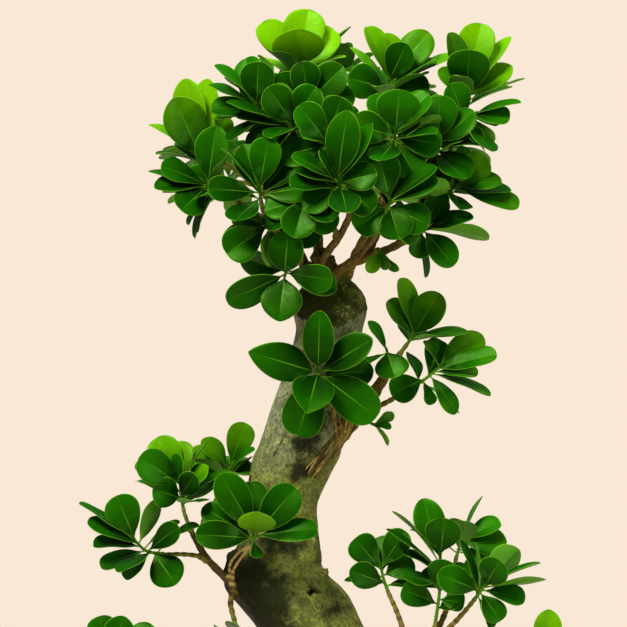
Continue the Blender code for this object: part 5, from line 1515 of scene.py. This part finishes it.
def make_pot(looks):
    """The oval pot with rounded edges and two drain holes."""
    rim = POT_HEIGHT - POT_RIM_DEPTH
    corners = (
        (0, POT_FLOOR),
        (inner_radius(POT_FLOOR), POT_FLOOR),
        (inner_radius(POT_HEIGHT), POT_HEIGHT),
        (POT_RIM_RADIUS, POT_HEIGHT),
        (POT_RIM_RADIUS, rim),
        (POT_TOP_RADIUS - RIM_UNDERCUT, rim - POT_EDGE),
        (POT_BASE_RADIUS + POT_EDGE, POT_FOOT),
        (POT_BASE_RADIUS, 0),
        (0, 0),
    )
    shape = Shape()
    shape.add(*oval(rounded(corners, POT_ROUNDING), POT_STEPS))
    mesh = drilled("pot_clay", shape)
    mesh.name = "pot"
    mesh.shade_smooth()
    mesh.set_sharp_from_angle(angle=math.radians(SHARP_ANGLE))
    points = mesh_points(mesh)
    radius, height = np.hypot(points[:, 0], points[:, 1] / POT_SQUEEZE), points[:, 2]
    out = radius - POT_RIM_RADIUS
    top_edge = smoothstep(-3.0, 0.0, out) * smoothstep(-3.0, 0.0, height - POT_HEIGHT)
    low_edge = smoothstep(-3.5, -0.5, out) * (1 - smoothstep(0, 4, np.abs(height - rim)))
    wall = np.minimum(inner_radius(POT_HEIGHT) + 1, inner_radius(np.maximum(height, 0)) + 2)
    inside = (radius < wall) & (height > 1)
    mark(mesh, "thin", np.maximum(top_edge, low_edge) * THIN_GLAZE)
    mark(mesh, "bare", np.maximum(inside * 1.0, 1 - smoothstep(0.5, 3.5, height)))
    piece("pot_body", mesh, [looks["glaze"]], "pot_glaze", "pot")


GRAINS = 2600
GRAIN_SIZES = (1.3, 3.4)
GRAIN_SHAPE, GRAIN_LUMPS = (0.7, 1.15), (0.78, 1.12)  # stretch of a grain, and of each of its corners
SOIL_RINGS, SOIL_STEPS = 46, 144
SOIL_INSET = 1.2  # clearance of the uneven top from the pot's wall


def soil_height(radius):
    """Height of the soil at an oval radius."""
    edge = inner_radius(SOIL_EDGE)
    radii, heights = zip(*SOIL_MOUND)
    return SOIL_EDGE + np.interp(radius, [*radii, edge], [*heights, 0.0])


def make_soil(looks):
    """A mounded top with rough skin, and grains of several sizes pressed into it."""
    random = np.random.default_rng(21)
    shape = Shape()
    edge = inner_radius(SOIL_EDGE) - SOIL_INSET
    wall, low = inner_radius(POT_FLOOR) - GAP - 1, POT_FLOOR + 2
    top = [(r, float(soil_height(r))) for r in np.linspace(0, edge, SOIL_RINGS)]
    profile = [*top, (edge, SOIL_EDGE - 3), (wall, low + 5), (wall - 5, low), (0, low)]
    points, faces = oval(profile, SOIL_STEPS)
    lift = rough(points, 14, 3) * 1.3 + rough(points, 3, 3, 4.0) * 1.0 - 0.6
    points[:, 2] += np.where(points[:, 2] > SOIL_EDGE - 2, lift, 0)
    shape.add(points, faces, tint=0.25 + 0.3 * rough(points, 6, 2, 2.0))
    corners, faces = ball(1.0, 1)
    for _ in range(GRAINS):
        radius = (edge - 2) * math.sqrt(random.uniform(0.14, 1))
        turn = random.uniform(0, math.tau)
        size = GRAIN_SIZES[0] + (GRAIN_SIZES[1] - GRAIN_SIZES[0]) * random.uniform() ** 2
        x, y = radius * math.cos(turn), radius * math.sin(turn) * POT_SQUEEZE
        stretch = size * random.uniform(*GRAIN_SHAPE, 3)
        grain = corners * random.uniform(*GRAIN_LUMPS, (len(corners), 1)) * stretch
        grain = grain + (x, y, soil_height(radius)) + (0, 0, size * 0.1)
        shape.add(grain, faces, tint=random.uniform(0, 1))
    piece("soil_bed", shape.mesh("soil"), [looks["soil"]], "soil", "soil")


# ---------------------------------------------------------------- stage

LENS = 391.0
CAMERA = (-0.004, -6.0, 0.541)
BACKDROP = srgb(249, 232, 213)
AMBIENT = (0.13, 0.135, 0.125, 1)
FLOOR_RADIUS = 4.5
FLOOR_FADE = (0.7, 3.2)  # distances between which the floor fades into the backdrop
LIGHT_SPREAD = 90.0
LIGHTS = (  # name, place, target, size, power, colour, whether reflections show it
    ("key", (-1.3, -2.2, 2.9), (0, 0, 0.55), 1.3, 50, (1, 0.98, 0.93), True),
    ("fill", (2.6, -2.0, 1.2), (0, 0, 0.45), 1.6, 10, (0.97, 0.99, 1), True),
    ("top", (0.1, 0.3, 2.8), (0, 0, 0.6), 1.4, 24, (1, 1, 0.96), False),
    ("back", (0.9, 2.6, 1.7), (0, 0, 0.5), 1.4, 16, (1, 0.99, 0.95), False),
)


def make_stage():
    """A plain backdrop that the camera sees but that lights little, and a floor that fades into it."""
    world = bpy.data.worlds.new("studio")
    bpy.context.scene.world = world
    world.use_nodes = True
    nodes, links = world.node_tree.nodes, world.node_tree.links
    path, mix = nodes.new("ShaderNodeLightPath"), nodes.new("ShaderNodeMix")
    mix.data_type = "RGBA"
    mix.inputs[6].default_value = AMBIENT
    mix.inputs[7].default_value = BACKDROP
    links.new(path.outputs["Is Camera Ray"], mix.inputs[0])
    links.new(mix.outputs[2], nodes["Background"].inputs["Color"])
    bpy.ops.mesh.primitive_circle_add(vertices=96, radius=FLOOR_RADIUS, fill_type="NGON")
    floor = bpy.context.object
    floor.name = "floor"
    look = Look("floor_paper", {"Specular IOR Level": 0.1})
    body = look.mix(look.noise(300, 2), srgb(206, 193, 176), srgb(212, 200, 184))
    material = look.finish(body, 0.9, (look.noise(3, 2), 0.05))
    distance = look.add("ShaderNodeVectorMath", {0: look.place}, "Value", operation="LENGTH")
    clear = look.add("ShaderNodeBsdfTransparent", {})
    inputs = {0: look.reach(distance, *FLOOR_FADE), 1: look.shader.outputs[0], 2: clear}
    blend = look.add("ShaderNodeMixShader", inputs)
    look.tree.links.new(blend, look.tree.nodes["Material Output"].inputs["Surface"])
    floor.data.materials.append(material)


def make_lights():
    for name, place, target, size, power, colour, glossy in LIGHTS:
        data = bpy.data.lights.new(name, "AREA")
        data.shape = "DISK"
        data.size = size
        data.energy = power
        data.color = colour
        data.spread = math.radians(LIGHT_SPREAD)
        light = bpy.data.objects.new(name, data)
        light.location = place
        light.visible_glossy = glossy
        light.rotation_euler = (Vector(target) - Vector(place)).to_track_quat("-Z", "Y").to_euler()
        bpy.context.scene.collection.objects.link(light)


def make_camera():
    data = bpy.data.cameras.new("camera")
    data.lens = LENS
    camera = bpy.data.objects.new("camera", data)
    camera.location = CAMERA
    camera.rotation_euler = (math.pi / 2, 0, 0)
    bpy.context.scene.collection.objects.link(camera)
    bpy.context.scene.camera = camera


# ---------------------------------------------------------------- the model

make_camera()
make_lights()
make_stage()
bpy.context.scene.view_settings.view_transform = "Standard"
looks = {
    "leaf": leaf_look(), "stem": stem_look(), "trunk": trunk_look(), "bark": branch_look(),
    "strand": strand_look(), "soil": soil_look(), "glaze": glaze_look(), "screen": screen_look(),
}
make_pot(looks)
make_soil(looks)
make_trunk(looks)
for limb_name in LIMBS:
    make_branch(limb_name, looks)
make_strands(looks)
make_shoots(looks)
for screen in ("drain_screen_left", "drain_screen_right"):
    bpy.data.objects[screen].material_slots[0].material = looks["screen"]
